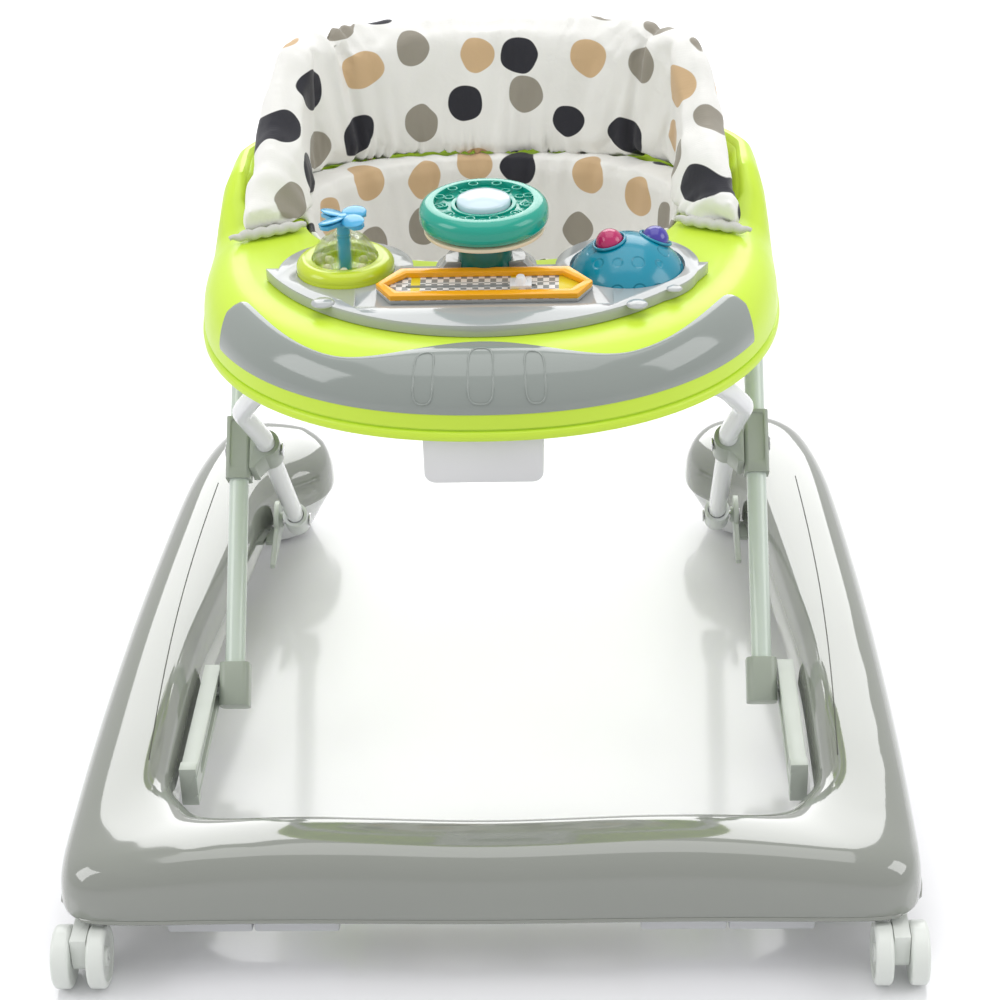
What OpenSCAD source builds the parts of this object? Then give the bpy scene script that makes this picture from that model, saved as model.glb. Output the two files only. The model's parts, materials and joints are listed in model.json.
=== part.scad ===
/* [Base] */
// Overall length, from the front of the castors to the rear of the rails
base_l = 722; // [700:1:740]
// Half the overall width of the base
base_half_w = 311; // [306:1:316]
// Height of the lower edge of the base shell above the floor
base_low = 50; // [49:0.5:52]
// Wall of the moulded shells
shell_wall = 3; // [2:0.5:4]

/* [Castors and rear wheels] */
// Radius of a castor wheel
castor_r = 23; // [22:0.5:23]
// Distance from the swivel stem to the castor axle
castor_trail = 22; // [20:1:24]
// Distance of a castor stem from the middle of the walker
castor_x = 292; // [290:1:293]
// Radius of a rear wheel
rear_wheel_r = 22; // [18:0.5:23]

/* [Folding arms] */
// Angle of the arms above the floor when the walker stands
arm_angle = 47; // [42:1:50]
// Length of an arm from its foot to the crossing pivot
arm_low = 199.5; // [195:0.5:205]
// Length of an arm from the crossing pivot to the tray
arm_high = 162; // [158:0.5:164]
// Outer radius of the arm tubes
tube_r = 8; // [7:0.5:8]
// Wall of the arm tubes
tube_wall = 1.5; // [1:0.5:2]
// Sideways place of the white arms
arm_a_x = 188; // [186:0.5:188]
// Sideways place of the green arms
arm_b_x = 211; // [211:0.5:212]

/* [Tray] */
// Half the width of the tray
tray_half_w = 225; // [215:1:228]
// Height of the lower lip of the tray
tray_low = 345; // [345:1:350]
// Height of the rim at the front of the tray
rim_front = 400; // [398:1:406]
// Height of the rim behind the seat
rim_rear = 430; // [424:1:440]

/* [Seat] */
// Height of the top of the seat back
seat_top = 520; // [500:1:530]
// Height of the lowest point of the seat sling
sling_low = 262; // [255:1:280]

/* [Toys] */
// Radius of the steering wheel
wheel_r = 48; // [44:1:49]
// Radius of the spinner's ring
spinner_r = 37; // [34:1:38]
// Radius of a toy ball
ball_r = 10.5; // [9:0.5:10.5]

/* [Hidden] */
$fn = 64;
// Radial clearance of a pin that turns in its bore
fit_gap = 0.05;
// Room left around the open pivots of the folding linkage
open_gap = 0.3;
// A cut runs this far past the face that it opens
past = 1;
// Y of the front castor axles; every other place is measured back from there
axle_y = -base_l / 2 + castor_r;

// Foot pivot of the white arms, back from the castor axles and above the floor
foot_y = 541;
foot_z = 69;
foot_pin_r = 4;
// Crossing pivot of the two arms
cross_y = foot_y - arm_low * cos(arm_angle);
cross_z = foot_z + arm_low * sin(arm_angle);
cross_pin_r = 4;
// Lowest angle that the folded arms reach
fold_angle = 20;
// Places that the slider pin of a green arm has, standing and folded
slide_rear_y = foot_y - 2 * arm_low * cos(arm_angle);
slide_front_y = foot_y - 2 * arm_low * cos(fold_angle);
slider_pin_r = 5;
// Places of the arms' upper ends, measured on the standing tray
bar_y = cross_y - arm_high * cos(arm_angle);
bar_z = cross_z + arm_high * sin(arm_angle);
head_y = cross_y + arm_high * cos(arm_angle);
bar_front_y = head_y - 2 * arm_high * cos(fold_angle);

// Toys: middle line of the pair at the sides, their distance from the middle, and the panel's faces
toy_y = 332;
toy_x = 106;
deck_z = 399.5;
panel_low = deck_z + 0.8;
panel_top = 409;
column_y = 325;
column_r = 20;
hub_top = 420;
wheel_low = 446;
wheel_top = 466;
window_y = 290;
window_z = 413;
window_tilt = 12;

// ---- shared shapes ----

module on_side(s) {
  if (s > 0) children();
  else mirror([1, 0, 0]) children();
}

module both_sides() {
  for (s = [-1, 1]) on_side(s) children();
}

module from_axles() {
  translate([0, axle_y, 0]) children();
}

// Frame of the white arms: X sideways, Y up along the arm from its foot
module on_arm_a() {
  from_axles() translate([0, foot_y, foot_z]) rotate([180 - arm_angle, 0, 0]) children();
}

// Frame of the green arms: X sideways, Y up along the arm from the crossing
module on_arm_b() {
  from_axles() translate([0, cross_y, cross_z]) rotate([arm_angle, 0, 0]) children();
}

// Cylinder along X between two sideways places
module x_rod(x0, x1, r) {
  translate([x0, 0, 0]) rotate([0, 90, 0]) cylinder(h = x1 - x0, r = r);
}

// Cylinder along Y between two places
module y_rod(y0, y1, r) {
  translate([0, y0, 0]) rotate([-90, 0, 0]) cylinder(h = y1 - y0, r = r);
}

module rounded_rect(w, h, r) {
  square([w - 2 * r, h], center = true);
  square([w, h - 2 * r], center = true);
  for (x = [-1, 1], y = [-1, 1]) translate([x * (w / 2 - r), y * (h / 2 - r)]) circle(r);
}

// Outline of a superellipse quarter-by-quarter, as points of equal parameter
function signed_pow(v, e) = sign(v) * pow(abs(v), e);
function super_point(t, a, b, e) = [a * signed_pow(cos(t), e), b * signed_pow(sin(t), e)];
function smooth(v) = let (c = max(0, min(1, v))) c * c * (3 - 2 * c);
function mix(a, b, t) = a + (b - a) * t;
function backwards(l) = [for (i = [len(l) - 1 : -1 : 0]) l[i]];

// Skin between rings of equal length; open ends are capped, a closed loop joins up
module loft(rings, closed = false) {
  n = len(rings[0]);
  m = len(rings);
  spans = closed ? m : m - 1;
  walls = [for (i = [0 : spans - 1], j = [0 : n - 1])
    let (a = i * n, b = ((i + 1) % m) * n, k = (j + 1) % n) [a + j, b + j, b + k, a + k]];
  caps = closed ? [] : [[for (j = [0 : n - 1]) j], [for (j = [n - 1 : -1 : 0]) (m - 1) * n + j]];
  polyhedron([for (r = rings, p = r) p], concat(walls, caps), convexity = 8);
}

// ---- base ----

// Right half of the base, from the rear end of the rail to the front middle:
// outer point, inner point and height of the top
base_stations = [
  [[216, 699], [205, 697], 66],
  [[236, 699], [190, 690], 84],
  [[252, 696], [172, 674], 91],
  [[266, 688], [163, 653], 94],
  [[277, 672], [162, 630], 96],
  [[284, 648], [170, 606], 97],
  [[289, 615], [194, 588], 98],
  [[294, 570], [213, 556], 99],
  [[298, 510], [218, 505], 100],
  [[302, 440], [225, 438], 100],
  [[306, 360], [233, 362], 100],
  [[308, 290], [239, 300], 100],
  [[310, 220], [240, 235], 99],
  [[base_half_w, 150], [240, 180], 98],
  [[base_half_w, 95], [240, 148], 96],
  [[base_half_w, 55], [238, 124], 95],
  [[310, 30], [226, 109], 95],
  [[304, 13], [218, 97], 96],
  [[292, 4], [208, 88], 97],
  [[272, 1], [196, 82], 99],
  [[235, 1], [180, 77], 102],
  [[185, 2], [155, 74], 105],
  [[130, 2], [118, 72], 107],
  [[65, 1], [62, 71], 105],
  [[0, 0], [0, 70], 103]
];
base_mirror = [for (i = [len(base_stations) - 2 : -1 : 0])
  let (s = base_stations[i]) [[-s[0].x, s[0].y], [-s[1].x, s[1].y], s[2]]];
base_path = concat(base_stations, base_mirror);
arch_steps = 14;
arch_power = 0.62;

// One arched section, drawn in by a distance on every side but the bottom
function base_ring(s, inset, low) =
  let (span = norm(s[1] - s[0]), dir = (s[1] - s[0]) / span, half = span / 2 - inset,
       mid = (s[0] + s[1]) / 2, rise = s[2] - inset - low)
  [for (k = [0 : arch_steps])
    let (a = 180 * k / arch_steps, u = -half * signed_pow(cos(a), arch_power),
         z = low + rise * pow(sin(a), arch_power))
    [mid.x + dir.x * u, mid.y + dir.y * u, z]];

// Wall along the path: the hollow narrows to a slit at both rear tips
tip_walls = [4.9, 9];
function base_wall(i) =
  let (e = min(i, len(base_path) - 1 - i)) e < len(tip_walls) ? tip_walls[e] : shell_wall;

module base_shell() {
  color([0.66, 0.69, 0.66]) from_axles() loft([for (i = [0 : len(base_path) - 1])
    concat(base_ring(base_path[i], 0, base_low),
           backwards(base_ring(base_path[i], base_wall(i), base_low)))]);
}

housing_x = 222;
housing_y = 645;
housing_low = 5;
housing_top = base_low - 0.3;
rear_wheel_w = 18;
axle_r = 3;

module housing_form(inset) {
  hull() {
    translate([housing_x, housing_y, housing_top - past - inset]) {
      translate([-14, -8, 0]) cylinder(h = past, r = 42 - inset, $fn = 32);
      translate([14, 2, 0]) cylinder(h = past, r = 44 - inset, $fn = 32);
    }
    translate([housing_x, housing_y, housing_low + inset]) cylinder(h = past, r = 33 - inset, $fn = 32);
  }
}

module rear_housing(s) {
  rib_x = rear_wheel_w / 2 + 2.5;
  rib = 4;
  color([0.93, 0.94, 0.94]) from_axles() on_side(s) difference() {
    union() {
      difference() {
        housing_form(0);
        translate([0, 0, past + 2 * shell_wall]) housing_form(shell_wall);
        housing_form(shell_wall);
      }
      for (x = [-rib_x - rib, rib_x])
        translate([housing_x + x, housing_y - 12, housing_low + shell_wall / 2]) cube([rib, 24, 34]);
    }
    translate([housing_x - rib_x, housing_y - rear_wheel_r - 2, 0])
      cube([2 * rib_x, 2 * rear_wheel_r + 4, 12]);
    translate([0, housing_y, rear_wheel_r])
      x_rod(housing_x - rib_x - rib - past, housing_x + rib_x + rib + past, axle_r + fit_gap);
  }
}

module rear_axle(s) {
  reach = rear_wheel_w / 2 + 6.5;
  color("silver") from_axles() on_side(s) translate([0, housing_y, rear_wheel_r])
    x_rod(housing_x - reach, housing_x + reach, axle_r);
}

dish_depth = 2.5;
// A wheel about X with a rounded tread, a dished web and a bore
module wheel_solid(r, w, bore, dish) {
  edge = 3;
  rim = 5;
  rotate([0, 90, 0]) rotate_extrude() difference() {
    union() {
      translate([bore, -w / 2]) square([r - edge - bore, w]);
      translate([bore, -w / 2 + edge]) square([r - bore, w - 2 * edge]);
      for (y = [-1, 1]) translate([r - edge, y * (w / 2 - edge)]) circle(edge);
    }
    for (y = dish) translate([bore + 4, y * w / 2 - dish_depth]) square([r - rim - bore - 4, 2 * dish_depth]);
  }
}
module rear_wheel(s) {
  color([0.35, 0.36, 0.37]) from_axles() on_side(s) translate([housing_x, housing_y, rear_wheel_r])
    wheel_solid(rear_wheel_r, rear_wheel_w, axle_r + fit_gap, [-1, 1]);
}

// Slot rail that the foot of a green arm slides in
guide_x0 = 223.6;
guide_x1 = 236.5;
guide_half_h = 12;
module guide_channel(s) {
  slot_h = slider_pin_r + open_gap;
  front = slide_front_y - 16;
  rear = slide_rear_y + 20;
  block = 10;
  color([0.76, 0.79, 0.76]) from_axles() on_side(s) difference() {
    union() {
      translate([guide_x0, front, foot_z - guide_half_h])
        cube([guide_x1 - guide_x0, rear - front, 2 * guide_half_h]);
      translate([guide_x0, front - block, foot_z - guide_half_h - 5])
        cube([guide_x1 - guide_x0, block, 2 * guide_half_h + 9]);
    }
    for (y = [slide_front_y, slide_rear_y]) translate([0, y, foot_z])
      x_rod(guide_x0 - past, guide_x1 - 2.5, slot_h);
    translate([guide_x0 - past, slide_front_y, foot_z - slot_h])
      cube([guide_x1 - guide_x0 - 2.5 + past, slide_rear_y - slide_front_y, 2 * slot_h]);
    for (z = [-1, 1]) translate([guide_x0 - past, front - block - past, foot_z + z * 8.5 - 0.8])
      cube([past + 0.8, rear - front + block + 2 * past, 1.6]);
  }
}

plate_x0 = 202.5;
plate_x1 = 207;
module bracket_plates() {
  half = 17;
  tab_l = 13;
  color([0.72, 0.75, 0.71]) from_axles() both_sides() difference() {
    union() {
      translate([plate_x0, foot_y, foot_z]) rotate([90, 0, 90]) linear_extrude(plate_x1 - plate_x0) {
        circle(half);
        translate([-half, -17]) square([2 * half, 17]);
        polygon([[-half, -17], [-half, 0], [-half - 40, -13], [-half - 40, -17]]);
      }
      translate([0, foot_y, foot_z]) x_rod(plate_x0 - 2.4, plate_x0, 7);
      translate([plate_x0, foot_y - half, foot_z - 17]) cube([tab_l, 2 * half - 7, 4]);
    }
    translate([0, foot_y, foot_z]) x_rod(plate_x0 - 3, plate_x1 + past, foot_pin_r + fit_gap);
  }
}

pad_low = 20;
pad_w = 62;
module friction_pads() {
  depth = 20;
  top = 88;
  color([0.86, 0.87, 0.88]) from_axles() for (s = [-1, 1], x = [140, 203.4]) translate([s * x, 37, 0])
    translate([-pad_w / 2, 0, (pad_low + top) / 2]) rotate([90, 0, 90])
      linear_extrude(pad_w) rounded_rect(depth, top - pad_low, 5);
}

stem_r = 5.5;
socket_top = 70;
module castor_sockets() {
  low = base_low + 1;
  color([0.7, 0.72, 0.71]) from_axles() both_sides() translate([castor_x, castor_trail, 0]) difference() {
    union() {
      translate([0, 0, low]) cylinder(h = socket_top - low, r = 8);
      translate([0, 0, low]) cylinder(h = 2, r = 9);
    }
    translate([0, 0, low - past]) cylinder(h = socket_top - low - 3 + past, r = stem_r + fit_gap);
  }
}

fork_w = 11.5;
fork_top = 44;
module castor_fork(s) {
  color([0.88, 0.9, 0.9]) from_axles() on_side(s) translate([castor_x, 0, 0]) difference() {
    union() {
      translate([-fork_w / 2, 0, castor_r]) rotate([90, 0, 90]) linear_extrude(fork_w) {
        circle(9);
        translate([-9, 0]) square([castor_trail + 17, fork_top - castor_r]);
      }
      translate([0, castor_trail, fork_top]) cylinder(h = base_low - fork_top + 0.6, r = 7.5);
      translate([0, castor_trail, fork_top]) cylinder(h = socket_top - 4 - fork_top, r = stem_r);
    }
    translate([0, 0, castor_r]) x_rod(-fork_w, fork_w, axle_r + fit_gap);
  }
}

castor_wheel_w = 13;
module castor_axle(s) {
  reach = fork_w / 2 + castor_wheel_w - 3;
  color("silver") from_axles() on_side(s) translate([castor_x, 0, castor_r]) x_rod(-reach, reach, axle_r);
}

module castor_wheel(s, outer) {
  place = outer * (fork_w / 2 + 0.4 + castor_wheel_w / 2);
  color([0.93, 0.94, 0.93]) from_axles() on_side(s) translate([castor_x + place, 0, castor_r])
    wheel_solid(castor_r, castor_wheel_w, axle_r, [outer]);
}

// ---- white arms ----

// The tube in its own plane: sideways place and distance up the arm
arm_a_half = [
  [arm_a_x, -6], [arm_a_x, 228], [arm_a_x + 9, 292], [arm_a_x - 10, 338], [120, arm_low + arm_high]
];
arm_a_path = concat(arm_a_half,
  [for (i = [len(arm_a_half) - 1 : -1 : 0]) [-arm_a_half[i].x, arm_a_half[i].y]]);
bend_r = 26;
bend_parts = 3;

function heading(a, b) = atan2(b.y - a.y, b.x - a.x);
function turn(d) = d > 180 ? d - 360 : (d < -180 ? d + 360 : d);

// Points around one bend of a flat path, on an arc of bend_r that touches both legs
function bend_points(p, i) =
  let (h = heading(p[i - 1], p[i]), t = turn(heading(p[i], p[i + 1]) - h), side = sign(t),
       s = bend_r * tan(abs(t) / 2), c = p[i] - s * [cos(h), sin(h)] + side * bend_r * [-sin(h), cos(h)])
  [for (k = [0 : bend_parts]) let (a = h + t * k / bend_parts - side * 90) c + bend_r * [cos(a), sin(a)]];
arm_a_line = concat(
  [arm_a_path[0]],
  [for (i = [1 : len(arm_a_path) - 2]) each bend_points(arm_a_path, i)],
  [arm_a_path[len(arm_a_path) - 1]]
);

// A round bar along a flat line, each ring square to the line there
bar_sides = 28;
module bent_bar(p, r, extra) {
  last = len(p) - 1;
  loft([for (i = [0 : last])
    let (h0 = heading(p[max(i - 1, 0)], p[max(i, 1)]), h1 = heading(p[min(i, last - 1)], p[min(i + 1, last)]),
         h = h0 + turn(h1 - h0) / 2, push = i == 0 ? -extra : (i == last ? extra : 0))
    [for (k = [0 : bar_sides - 1])
      let (a = 360 * (k + 0.5) / bar_sides)
      [p[i].x + push * cos(h) - r * cos(a) * sin(h),
       p[i].y + push * sin(h) + r * cos(a) * cos(h), r * sin(a)]]]);
}

module arm_a_tube() {
  color("white") on_arm_a() difference() {
    bent_bar(arm_a_line, tube_r, 0);
    bent_bar(arm_a_line, tube_r - tube_wall, past);
    for (y = [0, arm_low]) translate([0, y, 0]) both_sides()
      x_rod(arm_a_x - 12, arm_a_x + 12, foot_pin_r + fit_gap);
  }
}

module arm_a_foot(s) {
  r = 11;
  color([0.84, 0.86, 0.85]) on_arm_a() on_side(s) difference() {
    translate([arm_a_x, 0, 0]) y_rod(-12, 15, r);
    translate([arm_a_x, 0, 0]) y_rod(-6, 16, tube_r + fit_gap);
    x_rod(arm_a_x - 14, arm_a_x + 14, foot_pin_r + fit_gap);
  }
}

collar_face = 200.4;
module arm_a_collars() {
  half = 17;
  ring = 11.4;
  color([0.7, 0.74, 0.69]) on_arm_a() translate([0, arm_low, 0]) both_sides() difference() {
    translate([0, half, 0]) rotate([90, 0, 0]) linear_extrude(2 * half) {
      translate([arm_a_x, 0]) circle(ring);
      polygon([[arm_a_x, ring], [collar_face - 4.5, 19], [collar_face - 4.5, -8], [arm_a_x, -ring]]);
      translate([collar_face - 5, -9]) square([5, 30]);
    }
    translate([arm_a_x, 0, 0]) y_rod(-half - past, half + past, tube_r + fit_gap);
    x_rod(arm_a_x - 14, collar_face + past, cross_pin_r + fit_gap);
  }
}

module rivet(x0, x1, r) {
  head = 1.4;
  x_rod(x0, x1, r);
  x_rod(x0 - head, x0, r + 2);
  x_rod(x1, x1 + head, r + 2);
}

module foot_pins() {
  color("silver") on_arm_a() both_sides() rivet(arm_a_x - 11.2, plate_x1 + 0.2, foot_pin_r);
}

// ---- green arms ----

module arm_b_tube(s) {
  color([0.84, 0.9, 0.85]) on_arm_b() on_side(s) difference() {
    translate([arm_b_x, 0, 0]) y_rod(-arm_low + 7, arm_high + 8, tube_r);
    translate([arm_b_x, 0, 0]) y_rod(-arm_low, arm_high + 20, tube_r - tube_wall);
    for (y = [0, arm_high]) translate([0, y, 0]) x_rod(arm_b_x - 14, arm_b_x + 14, cross_pin_r + fit_gap);
  }
}

sleeve_x0 = 201.1;
sleeve_x1 = 221;
module arm_b_sleeve(s) {
  half = 26;
  depth = 22;
  color([0.66, 0.7, 0.65]) on_arm_b() on_side(s) difference() {
    translate([(sleeve_x0 + sleeve_x1) / 2, half, 0]) rotate([90, 0, 0])
      linear_extrude(2 * half) rounded_rect(sleeve_x1 - sleeve_x0, depth, 3);
    translate([arm_b_x, 0, 0]) y_rod(-half - past, half + past, tube_r + fit_gap);
    x_rod(sleeve_x0 - past, sleeve_x1 + past, cross_pin_r + fit_gap);
    translate([(sleeve_x0 + sleeve_x1) / 2, 3, depth / 2 - 0.8])
      linear_extrude(2) rounded_rect(13, 40, 3);
  }
}

module arm_b_slider(s) {
  w = 24;
  low = -arm_low - 13;
  high = -arm_low + 22;
  color([0.66, 0.7, 0.65]) on_arm_b() on_side(s) difference() {
    translate([arm_b_x - 0.5, high, 0]) rotate([90, 0, 0]) linear_extrude(high - low) rounded_rect(w, 24, 6);
    translate([arm_b_x, 0, 0]) y_rod(-arm_low + 7, high + past, tube_r + fit_gap);
    translate([0, -arm_low, 0]) x_rod(arm_b_x - 4, arm_b_x + w, slider_pin_r + fit_gap);
  }
}

module arm_b_heads() {
  low = arm_high - 16;
  high = arm_high + 9;
  color([0.66, 0.7, 0.65]) on_arm_b() both_sides() difference() {
    translate([arm_b_x, high, 0]) rotate([90, 0, 0]) linear_extrude(high - low) rounded_rect(18, 20, 8.5);
    translate([arm_b_x, 0, 0]) y_rod(low - past, arm_high + 8, tube_r + fit_gap);
    translate([0, arm_high, 0]) x_rod(arm_b_x - 14, arm_b_x + 14, cross_pin_r + fit_gap);
  }
}

module slider_pins() {
  color("silver") on_arm_b() both_sides() translate([0, -arm_low, 0])
    x_rod(arm_b_x - 4, guide_x1 - 3, slider_pin_r);
}

module cross_pins() {
  color("silver") on_arm_b() both_sides() rivet(arm_a_x - 11.6, sleeve_x1 + 0.2, cross_pin_r);
}

// ---- tray ----

tray_mid_y = 400;
tray_front_reach = 228;
tray_rear_reach = 140;
tray_straight = 100;
tray_power = 2 / 2.2;
hole_y = 462;
hole_a = 150;
hole_b = 98;
tray_steps = 72;

function tray_outer(t, inset) =
  let (q = super_point(t, tray_half_w - inset, 1, tray_power), back = q.y > 0)
  [q.x, tray_mid_y + (back ? q.y * (tray_rear_reach - inset) + tray_straight * min(1, q.y * 4)
                           : q.y * (tray_front_reach - inset))];
function tray_hole(t, grow) =
  let (q = super_point(t, hole_a + grow, hole_b + grow, tray_power)) [q.x, hole_y + q.y];

// Depth of the rounded rim and height of its crest, by how far back it lies
function rim_depth(y) = mix(50, 22, smooth((y - 405) / 45));
function rim_top(y) = mix(rim_front, rim_rear, smooth((y - 430) / 50));
rim_steps = 6;
rim_power = 0.8;

// Upper face of the tray along one direction, from the lip in to the seat hole
function tray_face(t, wall) =
  let (o = tray_outer(t, wall), h = tray_hole(t, wall), d = rim_depth(o.y) - wall, top = rim_top(o.y) - wall,
       dir = (h - o) / norm(h - o), lip = tray_low + 7, floor_z = deck_z - wall)
  concat(
    [[o.x, o.y, tray_low]],
    [for (k = [0 : rim_steps])
      let (a = 90 * k / rim_steps, in = 2 + d * (1 - pow(cos(a), rim_power)),
           z = lip + (top - lip) * pow(sin(a), rim_power))
      [o.x + dir.x * in, o.y + dir.y * in, z]],
    [for (k = [1 : 3])
      let (in = 2 + d + (4 + wall) * k, z = mix(top, floor_z, smooth(k / 3)))
      [o.x + dir.x * in, o.y + dir.y * in, z]],
    [[h.x - dir.x * 4, h.y - dir.y * 4, floor_z], [h.x, h.y, floor_z - 4], [h.x, h.y, deck_z - 20]]
  );

module tray_shell() {
  color([0.78, 0.92, 0.2]) from_axles() loft([for (i = [0 : tray_steps - 1])
    let (t = 360 * i / tray_steps)
      concat(tray_face(t, 0), backwards(tray_face(t, shell_wall)))], closed = true);
}

// Curved cover on the front of the rim, standing 1 mm proud of it
fascia_reach = 62;
fascia_steps = 40;
function fascia_high(t) =
  let (v = abs(t - 270) / fascia_reach)
  v < 0.45 ? mix(88, 56, smooth(v / 0.45))
           : mix(56, 72, smooth((v - 0.45) / 0.45)) * sqrt(1 - pow(max(0, v - 0.9) / 0.1, 2) * 0.6);
function fascia_row(t, proud) =
  let (o = tray_outer(t, 0), h = tray_hole(t, 0), d = rim_depth(o.y), top = rim_top(o.y),
       dir = (h - o) / norm(h - o), lip = tray_low + 7, turn_low = 12, turn_high = fascia_high(t))
  [for (k = [0 : 8])
    let (a = mix(turn_low, turn_high, k / 8), in = 2 + d * (1 - pow(cos(a), rim_power)) - proud * cos(a),
         z = lip + (top - lip) * pow(sin(a), rim_power) + proud * sin(a))
    [o.x + dir.x * in, o.y + dir.y * in, z]];

module tray_fascia() {
  color([0.65, 0.69, 0.66]) from_axles() loft([for (i = [0 : fascia_steps])
    let (t = 270 + fascia_reach * (2 * i / fascia_steps - 1) * 0.99)
    concat(backwards(fascia_row(t, 2.2)), fascia_row(t, 0.6))]);
}

module panel_outline(inset) {
  outer_r = 185;
  difference() {
    union() {
      intersection() {
        translate([0, 414]) circle(outer_r - inset, $fn = 96);
        translate([-170, 200]) square([340, 134]);
      }
      translate([-toy_x, toy_y]) circle(51 - inset);
      translate([toy_x, toy_y]) circle(54 - inset);
      translate([0, column_y + 8]) circle(38 - inset);
    }
    translate([0, 462]) circle(106 + inset, $fn = 96);
  }
}

module toy_panel() {
  window_seat = 26;
  color([0.78, 0.79, 0.79]) from_axles() difference() {
    union() {
      translate([0, 0, panel_low]) linear_extrude(panel_top - panel_low) panel_outline(0);
      translate([0, column_y, panel_low]) cylinder(h = hub_top - panel_low, r1 = 44, r2 = 30);
      translate([0, window_y, panel_low]) linear_extrude(hub_top - panel_low)
        lozenge(window_half_l, window_half_w, -5);
    }
    translate([0, window_y, window_z]) rotate([window_tilt, 0, 0]) translate([-95, -window_seat, -4])
      cube([190, 2 * window_seat, 40]);
    translate([0, column_y, panel_low - past]) cylinder(h = 40, r = column_r + 0.2);
    translate([-toy_x, toy_y, panel_top - 4]) cylinder(h = 20, r = spinner_r + 0.3);
    translate([toy_x, toy_y, panel_top - 4]) cylinder(h = 20, r = 43.3);
  }
}

// Channel under the tray that the white arms' crossbar slides along
housing_w = 86;
module adjuster_housing() {
  front = bar_front_y - 26;
  rear = bar_y + 18;
  low = bar_z - 28;
  top = tray_low + 6;
  slot = tube_r + open_gap;
  color("white") from_axles() difference() {
    union() {
      translate([0, rear, (low + top) / 2]) rotate([90, 0, 0]) linear_extrude(rear - front)
        rounded_rect(housing_w, top - low, 8);
      translate([-housing_w / 2 - 5, front, top - 6]) cube([housing_w + 10, rear - front, 6]);
      translate([-housing_w / 2, front + 52, top - 6]) cube([housing_w, rear - front - 52, deck_z - top - 1]);
    }
    for (y = [bar_front_y, bar_y]) translate([0, y, bar_z]) x_rod(-housing_w, housing_w, slot);
    translate([-housing_w, bar_front_y, bar_z - slot]) cube([2 * housing_w, bar_y - bar_front_y, 2 * slot]);
    translate([0, front + 38, low - past]) linear_extrude(past + 10) rounded_rect(46, 36, 6);
  }
}

module adjuster_handle() {
  front = bar_front_y - 26;
  low = bar_z - 28;
  color([0.66, 0.7, 0.65]) from_axles() translate([0, front + 38, low]) difference() {
    linear_extrude(8) rounded_rect(45, 35, 5.5);
    translate([0, 0, -past]) linear_extrude(past + 4) rounded_rect(33, 23, 4);
  }
}

bracket_x0 = 193;
bracket_x1 = 199;
module tray_brackets() {
  half = 13;
  color([0.78, 0.8, 0.79]) from_axles() both_sides() difference() {
    translate([bracket_x0, head_y, bar_z]) rotate([90, 0, 90]) linear_extrude(bracket_x1 - bracket_x0) {
      circle(half);
      translate([-half, 0]) square([2 * half, deck_z - shell_wall - 1 - bar_z]);
    }
    translate([0, head_y, bar_z]) x_rod(bracket_x0 - past, bracket_x1 + past, cross_pin_r + fit_gap);
  }
}

module head_pins() {
  color("silver") from_axles() translate([0, head_y, bar_z]) both_sides()
    rivet(bracket_x0 - 0.2, arm_b_x + 10.2, cross_pin_r);
}

// ---- toys ----

rotor_r = 5;
module spinner_base() {
  color([0.78, 0.87, 0.15]) from_axles() translate([-toy_x, toy_y, panel_top - 3.8]) difference() {
    rotate_extrude() {
      square([spinner_r - 4, 6]);
      translate([spinner_r - 8, 4]) circle(4);
      square([spinner_r, 6]);
      translate([spinner_r - 7, 7.2]) circle(7);
      translate([24, 6]) square([6, 8]);
    }
    translate([0, 0, 9]) cylinder(h = 20, r = 25.2);
    translate([0, 0, 4]) cylinder(h = 20, r = 23);
    translate([0, 0, 1]) cylinder(h = 20, r = rotor_r + fit_gap);
  }
}

dome_r = 25;
module spinner_dome() {
  color([0.9, 0.95, 1, 0.4]) from_axles() translate([-toy_x, toy_y, panel_top + 5.4]) difference() {
    intersection() {
      sphere(dome_r);
      cylinder(h = dome_r, r = dome_r);
    }
    sphere(dome_r - 1.5);
    cylinder(h = 2 * dome_r, r = rotor_r + 0.5);
  }
}

blade_count = 4;
module spinner_rotor() {
  low = panel_top - 2.5;
  high = panel_top + 38;
  color([0.35, 0.7, 0.9]) from_axles() translate([-toy_x, toy_y, 0]) {
    translate([0, 0, low]) cylinder(h = high - low, r = rotor_r);
    translate([0, 0, high]) cylinder(h = 6, r1 = 9, r2 = 3);
    for (i = [0 : blade_count - 1]) rotate([0, 0, 45 + i * 360 / blade_count])
      translate([3, -5, high]) cube([16, 10, 3]);
    for (i = [0 : blade_count - 1]) rotate([0, 0, 45 + i * 360 / blade_count])
      translate([16, 0, high]) cylinder(h = 3, r = 5);
  }
}

bead_r = 3.5;
module spinner_beads() {
  color("ivory") from_axles() translate([-toy_x, toy_y, panel_top + 0.3 + bead_r])
    for (i = [0 : 5]) rotate([0, 0, 60 * i + 30]) translate([15, 0, 0]) sphere(bead_r);
}

module steering_column() {
  color([0, 0.4, 0.33]) from_axles() translate([0, column_y, 0]) difference() {
    union() {
      translate([0, 0, panel_low]) cylinder(h = wheel_low - 4 - panel_low, r = column_r);
      translate([0, 0, panel_low]) cylinder(h = wheel_low + 7 - panel_low, r = 9);
    }
    translate([0, 0, wheel_low - 8]) cylinder(h = 20, r = 5);
  }
}

module steering_disc() {
  color([0.95, 0.9, 0.78]) from_axles() translate([0, column_y, wheel_low - 3.5]) difference() {
    cylinder(h = 3, r = wheel_r - 3);
    translate([0, 0, -past]) cylinder(h = 6, r = 9 + fit_gap);
  }
}

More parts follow.
